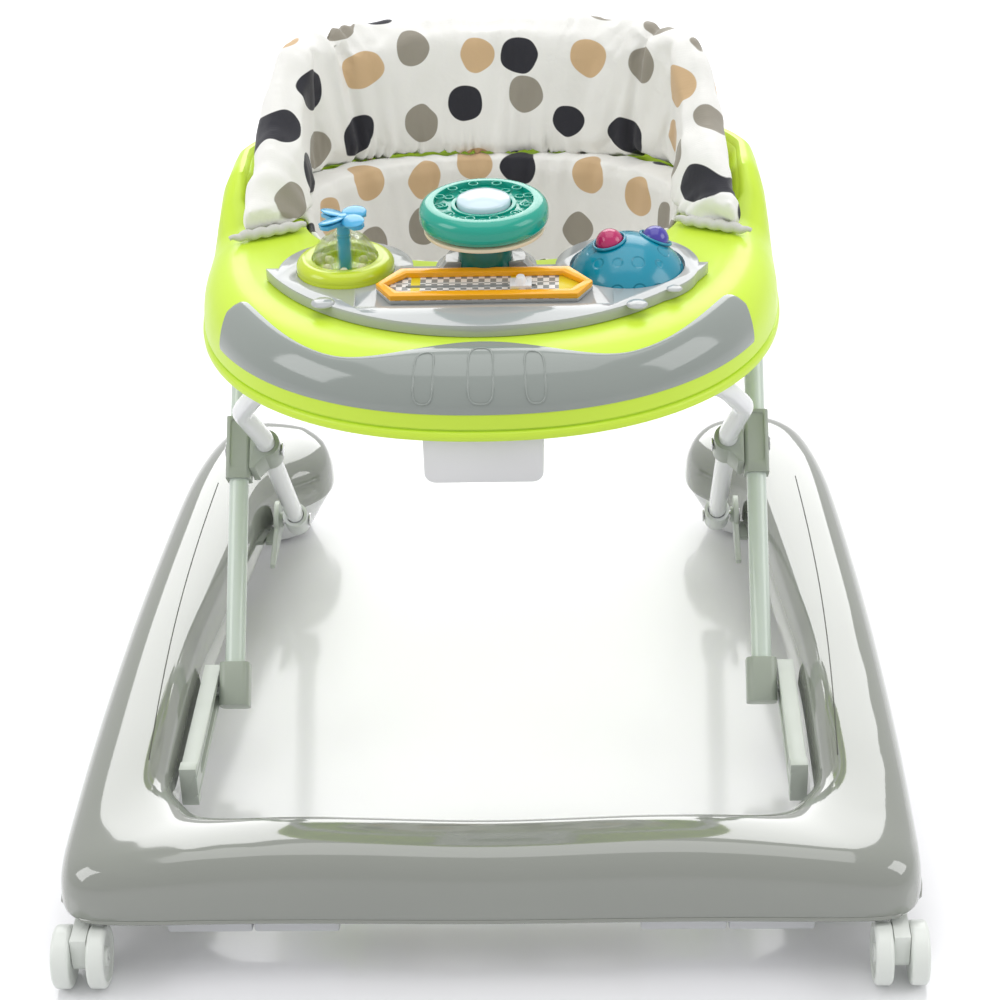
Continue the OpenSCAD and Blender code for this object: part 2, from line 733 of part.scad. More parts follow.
module steering_wheel() {
  edge = 8;
  recess_r = 37;
  hub_r = 21.2;
  color([0, 0.66, 0.55]) from_axles() translate([0, column_y, wheel_low]) difference() {
    rotate_extrude() {
      square([wheel_r - edge, wheel_top - wheel_low]);
      translate([0, edge]) square([wheel_r, wheel_top - wheel_low - 2 * edge]);
      for (z = [edge, wheel_top - wheel_low - edge]) translate([wheel_r - edge, z]) circle(edge);
    }
    translate([0, 0, wheel_top - wheel_low - 5]) difference() {
      cylinder(h = 20, r = recess_r);
      translate([0, 0, -past]) cylinder(h = 3.5, r = hub_r + 3);
      for (i = [0 : 11]) rotate([0, 0, 30 * i]) translate([30.5, 0, -past]) difference() {
        cylinder(h = past + 1.5, r = 4.2, $fn = 32);
        translate([0, 0, -past]) cylinder(h = 6, r = 2.4, $fn = 32);
      }
    }
    translate([0, 0, 9]) cylinder(h = 30, r = hub_r);
    translate([0, 0, -past]) cylinder(h = 8.5 + past, r = 9 + fit_gap);
    translate([0, 0, 5]) cylinder(h = 10, r = 6);
  }
}

horn_r = 20;
module horn_button() {
  color([0.85, 0.93, 0.97]) from_axles() translate([0, column_y, wheel_low + 13]) {
    cylinder(h = 8, r = horn_r);
    translate([0, 0, 8]) intersection() {
      translate([0, 0, -34]) sphere(sqrt(pow(horn_r, 2) + pow(34, 2)));
      cylinder(h = 10, r = horn_r);
    }
  }
}

module horn_spring() {
  coils = 3;
  wire = 0.5;
  color("silver") from_axles() translate([0, column_y, wheel_low + 9.2])
    for (i = [0 : coils - 1]) translate([0, 0, wire + i * 1.2])
      rotate_extrude() translate([13, 0]) circle(wire, $fn = 16);
}

// Long outline with pointed ends, like a flattened hexagon
module lozenge(half_l, half_w, inset) {
  k = half_l - inset;
  w = half_w - inset;
  polygon([[-k, -w * 0.1], [-k * 0.78, w], [k * 0.78, w], [k, -w * 0.1], [k * 0.86, -w], [-k * 0.86, -w]]);
}

window_half_l = 80;
window_half_w = 17;
module on_window() {
  from_axles() translate([0, window_y, window_z]) rotate([window_tilt, 0, 0]) children();
}

// Round room that the steering column takes out of the window's rear edge
module column_room() {
  from_axles() translate([0, column_y, panel_low]) cylinder(h = 40, r = column_r + open_gap);
}

module window_bezel() {
  color([1, 0.76, 0.1]) difference() {
    on_window() translate([0, 0, -0.6]) linear_extrude(4.6) difference() {
      lozenge(window_half_l, window_half_w, 0);
      lozenge(window_half_l, window_half_w, 6);
    }
    column_room();
  }
}

slider_w = 16;
slot_half = 1.6;
module window_card() {
  color("white") difference() {
    on_window() translate([0, 0, -3.7]) difference() {
      linear_extrude(3) lozenge(window_half_l, window_half_w, 0);
      translate([-58, -slot_half, past]) cube([96, 2 * slot_half, 4]);
    }
    column_room();
  }
}

slider_x = 27;
module window_slider() {
  color([0.95, 0.96, 0.97]) on_window() translate([slider_x, 0, 0]) {
    translate([-slider_w / 2, -5, -0.4]) cube([slider_w, 10, 3]);
    translate([0, 0, 2.6]) cylinder(h = 5, r1 = 5, r2 = 3);
    translate([-4, -slot_half + 0.3, -2.4]) cube([8, 2 * (slot_half - 0.3), 2]);
  }
}

bowl_r = 43;
bowl_h = 27;
bowl_sphere = (bowl_r * bowl_r + bowl_h * bowl_h) / (2 * bowl_h);
bowl_low = panel_top - 3.8;
ball_spots = [[-13, -4], [21, 9]];
function ball_z(p) = bowl_low + bowl_h - bowl_sphere + sqrt(pow(bowl_sphere, 2) - p * p) - 1.5;

module ball_dome() {
  color([0, 0.53, 0.66]) from_axles() translate([toy_x, toy_y, 0]) difference() {
    intersection() {
      translate([0, 0, bowl_low + bowl_h - bowl_sphere]) sphere(bowl_sphere, $fn = 96);
      translate([0, 0, bowl_low]) cylinder(h = bowl_h, r = bowl_r);
    }
    for (p = ball_spots) translate([p.x, p.y, ball_z(p)]) sphere(ball_r + open_gap);
  }
}

module toy_ball(i) {
  p = ball_spots[i];
  color(i == 0 ? [0.85, 0.1, 0.45] : [0.35, 0.3, 0.75]) from_axles()
    translate([toy_x + p.x, toy_y + p.y, ball_z(p)]) sphere(ball_r);
}

// ---- seat ----

back_steps = 36;
back_mid_y = 462;
back_low = deck_z + 0.5;
back_thick = 22;

// Top and bottom of the padded back: full height behind, low at the wings' tips, which lie over the rim
function back_top(a) = mix(420, seat_top, smooth((sin(a) + 0.45) / 0.95));
function back_bottom(a) = back_low + mix(5, 0, smooth(sin(a) / 0.3));
back_power = 0.7;

function back_ring(a) =
  let (low_a = mix(184, 174, smooth((sin(a) + 0.34) / 0.34)), low_b = 112, high_a = 172, high_b = 138,
       low = back_bottom(a), top = back_top(a), rise = (top - low) / (seat_top - back_low),
       a1 = mix(low_a, high_a, rise), b1 = mix(low_b, high_b, rise), h = back_thick / 2)
  [for (q = [[-1, 0], [-1, 0.3], [-1, 0.6], [-0.8, 0.9], [0, 1], [0.8, 0.9], [1, 0.6], [1, 0.3], [1, 0]])
    let (p = super_point(a, mix(low_a, a1, q.y) + h * q.x, mix(low_b, b1, q.y) + h * q.x, back_power))
    [p.x, back_mid_y + p.y, mix(low, top, q.y)]];

module seat_back() {
  wing = 20;
  color([0.95, 0.95, 0.92]) from_axles()
    loft([for (i = [0 : back_steps]) back_ring(-wing + (180 + 2 * wing) * i / back_steps)]);
}

sling_steps = 48;
sling_wall = 5;
function sling_ring(z, inset) =
  let (v = (deck_z - 2 - z) / (deck_z - 2 - sling_low),
       a = mix(hole_a - 1, 98, v * v) - inset, b = mix(hole_b - 1, 66, v * v) - inset)
  [for (i = [0 : sling_steps - 1])
    let (q = super_point(360 * i / sling_steps, a, b, tray_power)) [q.x, hole_y + q.y, z]];

module seat_sling() {
  rings = 6;
  top = deck_z - 2;
  color([0.95, 0.95, 0.92]) from_axles() difference() {
    loft([for (i = [0 : rings]) sling_ring(mix(sling_low, top, i / rings), 0)]);
    loft([for (i = [0 : rings])
      sling_ring(mix(sling_low + sling_wall, top, i / rings) + (i == rings ? 0.5 : 0), sling_wall)]);
    both_sides() translate([54, hole_y - 40, sling_low + 62]) rotate([112, 0, 12]) cylinder(h = 120, r = 40);
  }
}

base_shell();
rear_housing(-1);  // rear_housing_left
rear_housing(1);  // rear_housing_right
guide_channel(-1);  // guide_channel_left
guide_channel(1);  // guide_channel_right
bracket_plates();
friction_pads();
castor_sockets();
castor_fork(-1);  // castor_fork_left
castor_fork(1);  // castor_fork_right
castor_axle(-1);  // castor_axle_left
castor_axle(1);  // castor_axle_right
castor_wheel(-1, 1);  // castor_outer_wheel_left
castor_wheel(1, 1);  // castor_outer_wheel_right
castor_wheel(-1, -1);  // castor_inner_wheel_left
castor_wheel(1, -1);  // castor_inner_wheel_right
rear_wheel(-1);  // rear_wheel_left
rear_wheel(1);  // rear_wheel_right
rear_axle(-1);  // rear_axle_left
rear_axle(1);  // rear_axle_right
arm_a_tube();
arm_a_foot(-1);  // arm_a_foot_left
arm_a_foot(1);  // arm_a_foot_right
arm_a_collars();
foot_pins();
arm_b_tube(-1);  // arm_b_tube_left
arm_b_tube(1);  // arm_b_tube_right
arm_b_sleeve(-1);  // arm_b_sleeve_left
arm_b_sleeve(1);  // arm_b_sleeve_right
arm_b_slider(-1);  // arm_b_slider_left
arm_b_slider(1);  // arm_b_slider_right
arm_b_heads();
slider_pins();
cross_pins();
head_pins();
tray_shell();
tray_fascia();
toy_panel();
adjuster_housing();
adjuster_handle();
tray_brackets();
spinner_base();
spinner_dome();
spinner_rotor();
spinner_beads();
steering_column();
steering_wheel();
steering_disc();
horn_button();
horn_spring();
window_bezel();
window_card();
window_slider();
ball_dome();
toy_ball(0);  // ball_inner
toy_ball(1);  // ball_outer
seat_back();
seat_sling();
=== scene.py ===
import bisect
import json
import math

import bpy
from bpy.props import FloatProperty, FloatVectorProperty, IntProperty, PointerProperty
from mathutils import Matrix, Vector, noise
from mathutils.bvhtree import BVHTree
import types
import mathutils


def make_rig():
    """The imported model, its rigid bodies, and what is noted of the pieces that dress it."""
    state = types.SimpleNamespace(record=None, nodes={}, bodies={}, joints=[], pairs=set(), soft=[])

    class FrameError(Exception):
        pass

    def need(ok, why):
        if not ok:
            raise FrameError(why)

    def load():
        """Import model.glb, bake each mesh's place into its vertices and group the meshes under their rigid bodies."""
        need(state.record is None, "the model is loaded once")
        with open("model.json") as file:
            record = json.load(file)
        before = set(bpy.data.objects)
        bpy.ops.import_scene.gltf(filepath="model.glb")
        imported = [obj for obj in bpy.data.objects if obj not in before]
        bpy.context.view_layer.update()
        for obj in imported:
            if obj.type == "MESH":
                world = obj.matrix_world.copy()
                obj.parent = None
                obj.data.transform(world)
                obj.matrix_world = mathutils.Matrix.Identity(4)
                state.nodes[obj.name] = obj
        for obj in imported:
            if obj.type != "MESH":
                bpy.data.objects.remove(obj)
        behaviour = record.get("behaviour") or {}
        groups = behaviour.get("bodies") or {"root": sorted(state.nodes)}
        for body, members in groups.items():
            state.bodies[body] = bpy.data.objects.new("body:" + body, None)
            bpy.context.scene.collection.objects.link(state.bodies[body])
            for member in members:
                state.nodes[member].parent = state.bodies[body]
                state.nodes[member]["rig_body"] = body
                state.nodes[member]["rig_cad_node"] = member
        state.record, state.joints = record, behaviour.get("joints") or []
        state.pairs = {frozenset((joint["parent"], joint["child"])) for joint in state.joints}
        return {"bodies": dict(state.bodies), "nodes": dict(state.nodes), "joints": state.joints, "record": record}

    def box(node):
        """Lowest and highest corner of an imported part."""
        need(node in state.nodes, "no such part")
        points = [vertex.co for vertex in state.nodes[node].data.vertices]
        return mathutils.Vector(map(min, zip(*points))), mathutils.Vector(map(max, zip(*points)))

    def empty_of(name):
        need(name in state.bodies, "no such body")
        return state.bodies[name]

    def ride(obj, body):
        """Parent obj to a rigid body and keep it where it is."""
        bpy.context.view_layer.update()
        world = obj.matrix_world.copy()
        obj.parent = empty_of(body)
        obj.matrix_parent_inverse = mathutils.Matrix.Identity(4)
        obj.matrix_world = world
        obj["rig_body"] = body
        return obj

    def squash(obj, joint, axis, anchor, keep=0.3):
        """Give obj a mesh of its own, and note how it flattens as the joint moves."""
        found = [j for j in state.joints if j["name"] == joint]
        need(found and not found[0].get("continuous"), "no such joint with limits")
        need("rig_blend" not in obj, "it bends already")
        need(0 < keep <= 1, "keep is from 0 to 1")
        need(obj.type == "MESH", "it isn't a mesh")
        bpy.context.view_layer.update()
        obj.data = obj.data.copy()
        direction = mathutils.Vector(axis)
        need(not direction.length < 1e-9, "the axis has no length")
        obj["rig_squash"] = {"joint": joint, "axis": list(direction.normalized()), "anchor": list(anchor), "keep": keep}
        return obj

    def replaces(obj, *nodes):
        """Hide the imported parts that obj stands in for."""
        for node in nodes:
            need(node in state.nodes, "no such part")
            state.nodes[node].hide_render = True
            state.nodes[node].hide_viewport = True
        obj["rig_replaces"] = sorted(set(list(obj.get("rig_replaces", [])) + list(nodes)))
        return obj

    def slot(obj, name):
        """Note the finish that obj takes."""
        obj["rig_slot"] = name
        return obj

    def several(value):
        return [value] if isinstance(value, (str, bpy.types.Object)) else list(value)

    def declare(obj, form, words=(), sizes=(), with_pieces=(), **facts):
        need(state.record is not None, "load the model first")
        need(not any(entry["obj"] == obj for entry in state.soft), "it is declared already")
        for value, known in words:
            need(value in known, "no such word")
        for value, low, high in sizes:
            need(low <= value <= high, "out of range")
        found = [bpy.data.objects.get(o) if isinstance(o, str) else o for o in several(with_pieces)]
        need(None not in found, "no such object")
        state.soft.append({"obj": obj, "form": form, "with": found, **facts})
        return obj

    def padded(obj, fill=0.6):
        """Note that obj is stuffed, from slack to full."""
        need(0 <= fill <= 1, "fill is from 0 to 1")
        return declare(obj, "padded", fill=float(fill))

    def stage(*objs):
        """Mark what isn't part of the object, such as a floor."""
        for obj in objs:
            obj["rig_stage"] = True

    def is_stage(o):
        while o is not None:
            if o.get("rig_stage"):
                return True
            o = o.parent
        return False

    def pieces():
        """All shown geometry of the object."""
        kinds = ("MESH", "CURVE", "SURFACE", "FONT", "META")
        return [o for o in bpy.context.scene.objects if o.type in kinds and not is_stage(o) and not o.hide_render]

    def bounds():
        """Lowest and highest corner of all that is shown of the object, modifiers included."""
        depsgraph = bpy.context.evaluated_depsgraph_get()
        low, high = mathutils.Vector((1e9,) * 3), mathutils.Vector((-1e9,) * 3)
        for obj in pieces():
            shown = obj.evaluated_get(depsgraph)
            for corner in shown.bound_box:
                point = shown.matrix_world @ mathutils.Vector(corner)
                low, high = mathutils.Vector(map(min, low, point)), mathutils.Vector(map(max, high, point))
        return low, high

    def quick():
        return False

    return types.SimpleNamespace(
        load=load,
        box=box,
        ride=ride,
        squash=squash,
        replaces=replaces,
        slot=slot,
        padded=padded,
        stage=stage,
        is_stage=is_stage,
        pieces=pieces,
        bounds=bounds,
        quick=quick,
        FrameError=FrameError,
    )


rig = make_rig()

bl_info = {
    "name": "Folding Baby Walker",
    "version": (1, 0, 0),
    "blender": (4, 5, 0),
    "location": "3D View > Sidebar > Walker",
    "description": "Builds a folding baby walker with a round toy tray and a padded cloth seat",
    "category": "Object",
}

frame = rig.load()
cad_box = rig.bounds()
SLOTS = {s["node"]: s["material_slot"] for s in frame["record"]["subparts"]}
AXLE_Y = -0.338
TRAY_HALF = 0.225
TRAY_POWER = 2 / 2.2
HOLE_Y = 0.462
DECK_Z = 0.3995
LIP_Z = 0.345
FASCIA_SPREAD = 62      # degrees that the tray's front cover reaches to each side
SEAT_POWER = 0.7        # squareness of the seat's outline: 1 would be an ellipse
PAD_HALF = 0.0098       # half the thickness of the padded back
PANEL_BUMPS = ((-118, 272, 9), (112, 262, 8), (140, 288, 6))    # place and radius, in millimetres
finishes = {}


# ---- settings ----

class WalkerSettings(bpy.types.PropertyGroup):
    shell_colour: FloatVectorProperty(name="Base colour", description="Colour of the glossy base shell",
                                      subtype="COLOR", default=(0.24, 0.255, 0.225))
    tray_colour: FloatVectorProperty(name="Tray colour", description="Colour of the satin tray",
                                     subtype="COLOR", default=(0.60, 0.82, 0.05))
    fascia_colour: FloatVectorProperty(name="Fascia colour", description="Colour of the tray's front cover",
                                       subtype="COLOR", default=(0.27, 0.30, 0.28))
    panel_colour: FloatVectorProperty(name="Panel colour", description="Colour of the toy panel",
                                      subtype="COLOR", default=(0.40, 0.42, 0.42))
    cloth_colour: FloatVectorProperty(name="Cloth colour", description="Ground colour of the seat's cloth",
                                      subtype="COLOR", default=(0.86, 0.855, 0.82))
    dot_pitch: FloatProperty(name="Dot pitch", description="Distance between the dots printed on the cloth",
                             subtype="DISTANCE", unit="LENGTH", default=0.052)
    edge_round: FloatProperty(name="Edge rounding", description="Rounding of the edges of moulded pieces",
                              subtype="DISTANCE", unit="LENGTH", default=0.0008)
    wrinkle_depth: FloatProperty(name="Wrinkle depth", description="Depth of the wrinkles in the seat",
                                 subtype="DISTANCE", unit="LENGTH", default=0.0035)
    wheel_rings: IntProperty(name="Wheel rings", description="Raised rings around the toy steering wheel",
                             default=12, min=6, max=20)


def settings():
    return bpy.context.scene.walker


# ---- shared steps ----

def at(x, y, z):
    """A place given in millimetres: sideways, back from the castor axles, and above the floor."""
    return Vector((x / 1000, AXLE_Y + y / 1000, z / 1000))


def only(piece):
    bpy.ops.object.select_all(action="DESELECT")
    piece.select_set(True)
    bpy.context.view_layer.objects.active = piece


def settle(piece):
    """Puts the piece's place, turn and size into its mesh."""
    only(piece)
    bpy.ops.object.transform_apply(location=True, rotation=True, scale=True)


def apply_all(piece):
    only(piece)
    for modifier in list(piece.modifiers):
        bpy.ops.object.modifier_apply(modifier=modifier.name)


def smooth_by(piece, degrees):
    only(piece)
    bpy.ops.object.shade_smooth_by_angle(angle=math.radians(degrees))


def finish_piece(piece, body, slot, nodes=(), material=None):
    piece.data.materials.clear()
    piece.data.materials.append(material or finishes[slot])
    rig.ride(piece, body)
    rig.slot(piece, slot)
    if nodes:
        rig.replaces(piece, *nodes)
    return piece


def mesh_piece(name, points, faces):
    mesh = bpy.data.meshes.new(name)
    mesh.from_pydata([tuple(p) for p in points], [], faces)
    mesh.update()
    piece = bpy.data.objects.new(name, mesh)
    bpy.context.scene.collection.objects.link(piece)
    only(piece)
    bpy.ops.object.mode_set(mode="EDIT")
    bpy.ops.mesh.select_all(action="SELECT")
    bpy.ops.mesh.normals_make_consistent(inside=False)
    bpy.ops.object.mode_set(mode="OBJECT")
    return piece


def skin(name, rings, closed=False):
    """A surface through rings of equal length. The ends are capped unless the rings close on themselves."""
    n, m = len(rings[0]), len(rings)
    faces = [(i * n + j, ((i + 1) % m) * n + j, ((i + 1) % m) * n + (j + 1) % n, i * n + (j + 1) % n)
             for i in range(m if closed else m - 1) for j in range(n)]
    if not closed:
        faces += [tuple(range(n)), tuple((m - 1) * n + j for j in range(n - 1, -1, -1))]
    return mesh_piece(name, [p for ring in rings for p in ring], faces)


def bar(name, path, radius, sides=10, closed=False):
    """A round bar along a line of points. radius may be a function of the share of the way along."""
    rings, count = [], len(path)
    for i, p in enumerate(path):
        before, after = path[(i - 1) % count], path[(i + 1) % count]
        if not closed:
            before, after = path[max(0, i - 1)], path[min(count - 1, i + 1)]
        along = (after - before).normalized()
        side = along.cross(Vector((0, 0, 1)))
        side = side.normalized() if side.length > 0.05 else along.cross(Vector((0, 1, 0))).normalized()
        up = side.cross(along).normalized()
        r = radius(i / (count - 1)) if callable(radius) else radius
        rings.append([p + r * (math.cos(a) * side + math.sin(a) * up)
                      for a in (2 * math.pi * k / sides for k in range(sides))])
    piece = skin(name, rings, closed)
    piece.data.shade_smooth()
    return piece


def refined(node, rounding=None, angle=35, levels=0, slot=None):
    """A copy of a frame node with its flats merged and its edges rounded, which stands for the node."""
    source = frame["nodes"][node]
    piece = bpy.data.objects.new(node + "_skin", source.data.copy())
    bpy.context.scene.collection.objects.link(piece)
    only(piece)
    bpy.ops.mesh.customdata_custom_splitnormals_clear()
    bpy.ops.object.mode_set(mode="EDIT")
    bpy.ops.mesh.select_all(action="SELECT")
    bpy.ops.mesh.remove_doubles(threshold=0.00002)
    if levels:
        bpy.ops.mesh.tris_convert_to_quads(face_threshold=math.radians(25), shape_threshold=math.radians(60))
    else:
        bpy.ops.mesh.dissolve_limited(angle_limit=math.radians(0.4))
    bpy.ops.object.mode_set(mode="OBJECT")
    if levels:
        step = piece.modifiers.new("Round", "SUBSURF")
        step.levels = step.render_levels = levels
    else:
        step = piece.modifiers.new("Edges", "BEVEL")
        step.width = settings().edge_round if rounding is None else rounding
        step.segments = 2
        step.limit_method = "ANGLE"
        step.angle_limit = math.radians(38)
    apply_all(piece)
    smooth_by(piece, angle)
    return finish_piece(piece, source["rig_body"], slot or SLOTS[node], [node])


def ring_piece(name, centre, major, minor, normal=(0, 0, 1)):
    bpy.ops.object.select_all(action="DESELECT")
    bpy.ops.mesh.primitive_torus_add(location=centre, major_radius=major, minor_radius=minor,
                                     major_segments=36, minor_segments=10)
    piece = bpy.context.active_object
    piece.name = name
    piece.rotation_euler = Vector((0, 0, 1)).rotation_difference(Vector(normal)).to_euler()
    settle(piece)
    piece.data.shade_smooth()
    return piece


def joined(name, pieces):
    bpy.ops.object.select_all(action="DESELECT")
    for p in pieces:
        p.select_set(True)
    bpy.context.view_layer.objects.active = pieces[0]
    bpy.ops.object.join()
    piece = bpy.context.active_object
    piece.name = name
    return piece


# ---- finishes ----

def new_finish(name):
    material = bpy.data.materials.new(name)
    material.use_nodes = True
    tree = material.node_tree
    return material, tree.nodes, tree.links, tree.nodes["Principled BSDF"]


def add(nodes, kind, **values):
    node = nodes.new(kind)
    for key, value in values.items():
        if hasattr(node, key):
            setattr(node, key, value)
        else:
            node.inputs[key].default_value = value
    return node


def grain_bump(nodes, links, bsdf, coords, scale, strength, distance=0.0003, detail=3.0):
    fine = add(nodes, "ShaderNodeTexNoise", Scale=scale, Detail=detail, Roughness=0.6)
    bump = add(nodes, "ShaderNodeBump", Strength=strength, Distance=distance)
    links.new(coords, fine.inputs["Vector"])
    links.new(fine.outputs["Fac"], bump.inputs["Height"])
    links.new(bump.outputs["Normal"], bsdf.inputs["Normal"])
    return bump


def shaded(colour, amount):
    return tuple(max(0.0, min(1.0, c * amount)) for c in colour) + (1.0,)


def moulded(name, colour, rough, coat=0.0, drift=0.05, grain=900.0, strength=0.12, metallic=0.0, through=0.0,
            coat_ior=1.5):
    """Moulded or painted surface: slow drift of tone, uneven polish and a fine grain."""
    material, nodes, links, bsdf = new_finish(name)
    coords = add(nodes, "ShaderNodeTexCoord").outputs["Object"]
    slow = add(nodes, "ShaderNodeTexNoise", Scale=7.0, Detail=2.0)
    ramp = add(nodes, "ShaderNodeValToRGB")
    ramp.color_ramp.elements[0].position = 0.3
    ramp.color_ramp.elements[1].position = 0.7
    ramp.color_ramp.elements[0].color = shaded(colour, 1 - drift)
    ramp.color_ramp.elements[1].color = shaded(colour, 1 + drift)
    polish = add(nodes, "ShaderNodeTexNoise", Scale=60.0, Detail=4.0)
    spread = add(nodes, "ShaderNodeMapRange")
    spread.inputs["To Min"].default_value = rough * 0.8
    spread.inputs["To Max"].default_value = rough * 1.25
    links.new(coords, slow.inputs["Vector"])
    links.new(coords, polish.inputs["Vector"])
    links.new(slow.outputs["Fac"], ramp.inputs["Fac"])
    links.new(ramp.outputs["Color"], bsdf.inputs["Base Color"])
    links.new(polish.outputs["Fac"], spread.inputs["Value"])
    links.new(spread.outputs["Result"], bsdf.inputs["Roughness"])
    grain_bump(nodes, links, bsdf, coords, grain, strength)
    bsdf.inputs["Metallic"].default_value = metallic
    bsdf.inputs["Coat Weight"].default_value = coat
    bsdf.inputs["Coat Roughness"].default_value = 0.04
    bsdf.inputs["Coat IOR"].default_value = coat_ior
    bsdf.inputs["Transmission Weight"].default_value = through
    finishes[name] = material
    return material


def clear_finish(name, colour, rough):
    material = moulded(name, colour, rough, 0.0, 0.01, 200.0, 0.03, 0.0, 1.0)
    bsdf = material.node_tree.nodes["Principled BSDF"]
    bsdf.inputs["IOR"].default_value = 1.3
    bsdf.inputs["Alpha"].default_value = 0.35
    return material


def dimpled(name, colour):
    """Glossy plastic with shallow round dimples."""
    material = moulded(name, colour, 0.2, 0.3)
    nodes, links = material.node_tree.nodes, material.node_tree.links
    bsdf = nodes["Principled BSDF"]
    coords = next(n for n in nodes if n.type == "TEX_COORD").outputs["Object"]
    cells = add(nodes, "ShaderNodeTexVoronoi", Scale=62.0, Randomness=0.25)
    edge = add(nodes, "ShaderNodeMapRange", interpolation_type="SMOOTHSTEP")
    edge.inputs["From Min"].default_value = 0.27
    edge.inputs["From Max"].default_value = 0.36
    bump = add(nodes, "ShaderNodeBump", Strength=0.8, Distance=0.0012)
    links.new(coords, cells.inputs["Vector"])
    links.new(cells.outputs["Distance"], edge.inputs["Value"])
    links.new(edge.outputs["Result"], bump.inputs["Height"])
    links.new(bump.outputs["Normal"], bsdf.inputs["Normal"])
    return material


def card_finish(name):
    """Printed card: grey and white checks with yellow and green bands."""
    material, nodes, links, bsdf = new_finish(name)
    coords = add(nodes, "ShaderNodeTexCoord").outputs["Object"]
    checks = add(nodes, "ShaderNodeTexChecker", Scale=230.0)
    checks.inputs["Color1"].default_value = (0.85, 0.85, 0.83, 1)
    checks.inputs["Color2"].default_value = (0.28, 0.3, 0.3, 1)
    place = add(nodes, "ShaderNodeSeparateXYZ")
    band = add(nodes, "ShaderNodeValToRGB")
    band.color_ramp.interpolation = "CONSTANT"
    spread = add(nodes, "ShaderNodeMapRange")
    spread.inputs["From Min"].default_value = -0.08
    spread.inputs["From Max"].default_value = 0.08
    stops = [(0.0, 0.0), (0.16, 1.0), (0.2, 0.0), (0.62, 1.0), (0.66, 0.0), (0.84, 1.0)]
    while len(band.color_ramp.elements) < len(stops):
        band.color_ramp.elements.new(0.5)
    for element, (position, value) in zip(band.color_ramp.elements, stops):
        element.position = position
        element.color = (value, value, value, 1)
    mix = add(nodes, "ShaderNodeMix", data_type="RGBA")
    links.new(coords, checks.inputs["Vector"])
    links.new(coords, place.inputs["Vector"])
    links.new(place.outputs["X"], spread.inputs["Value"])
    links.new(spread.outputs["Result"], band.inputs["Fac"])
    links.new(band.outputs["Color"], mix.inputs["Factor"])
    links.new(checks.outputs["Color"], mix.inputs[6])
    mix.inputs[7].default_value = (0.8, 0.66, 0.03, 1)
    links.new(mix.outputs[2], bsdf.inputs["Base Color"])
    grain_bump(nodes, links, bsdf, coords, 500.0, 0.1)
    bsdf.inputs["Roughness"].default_value = 0.3
    finishes[name] = material
    return material


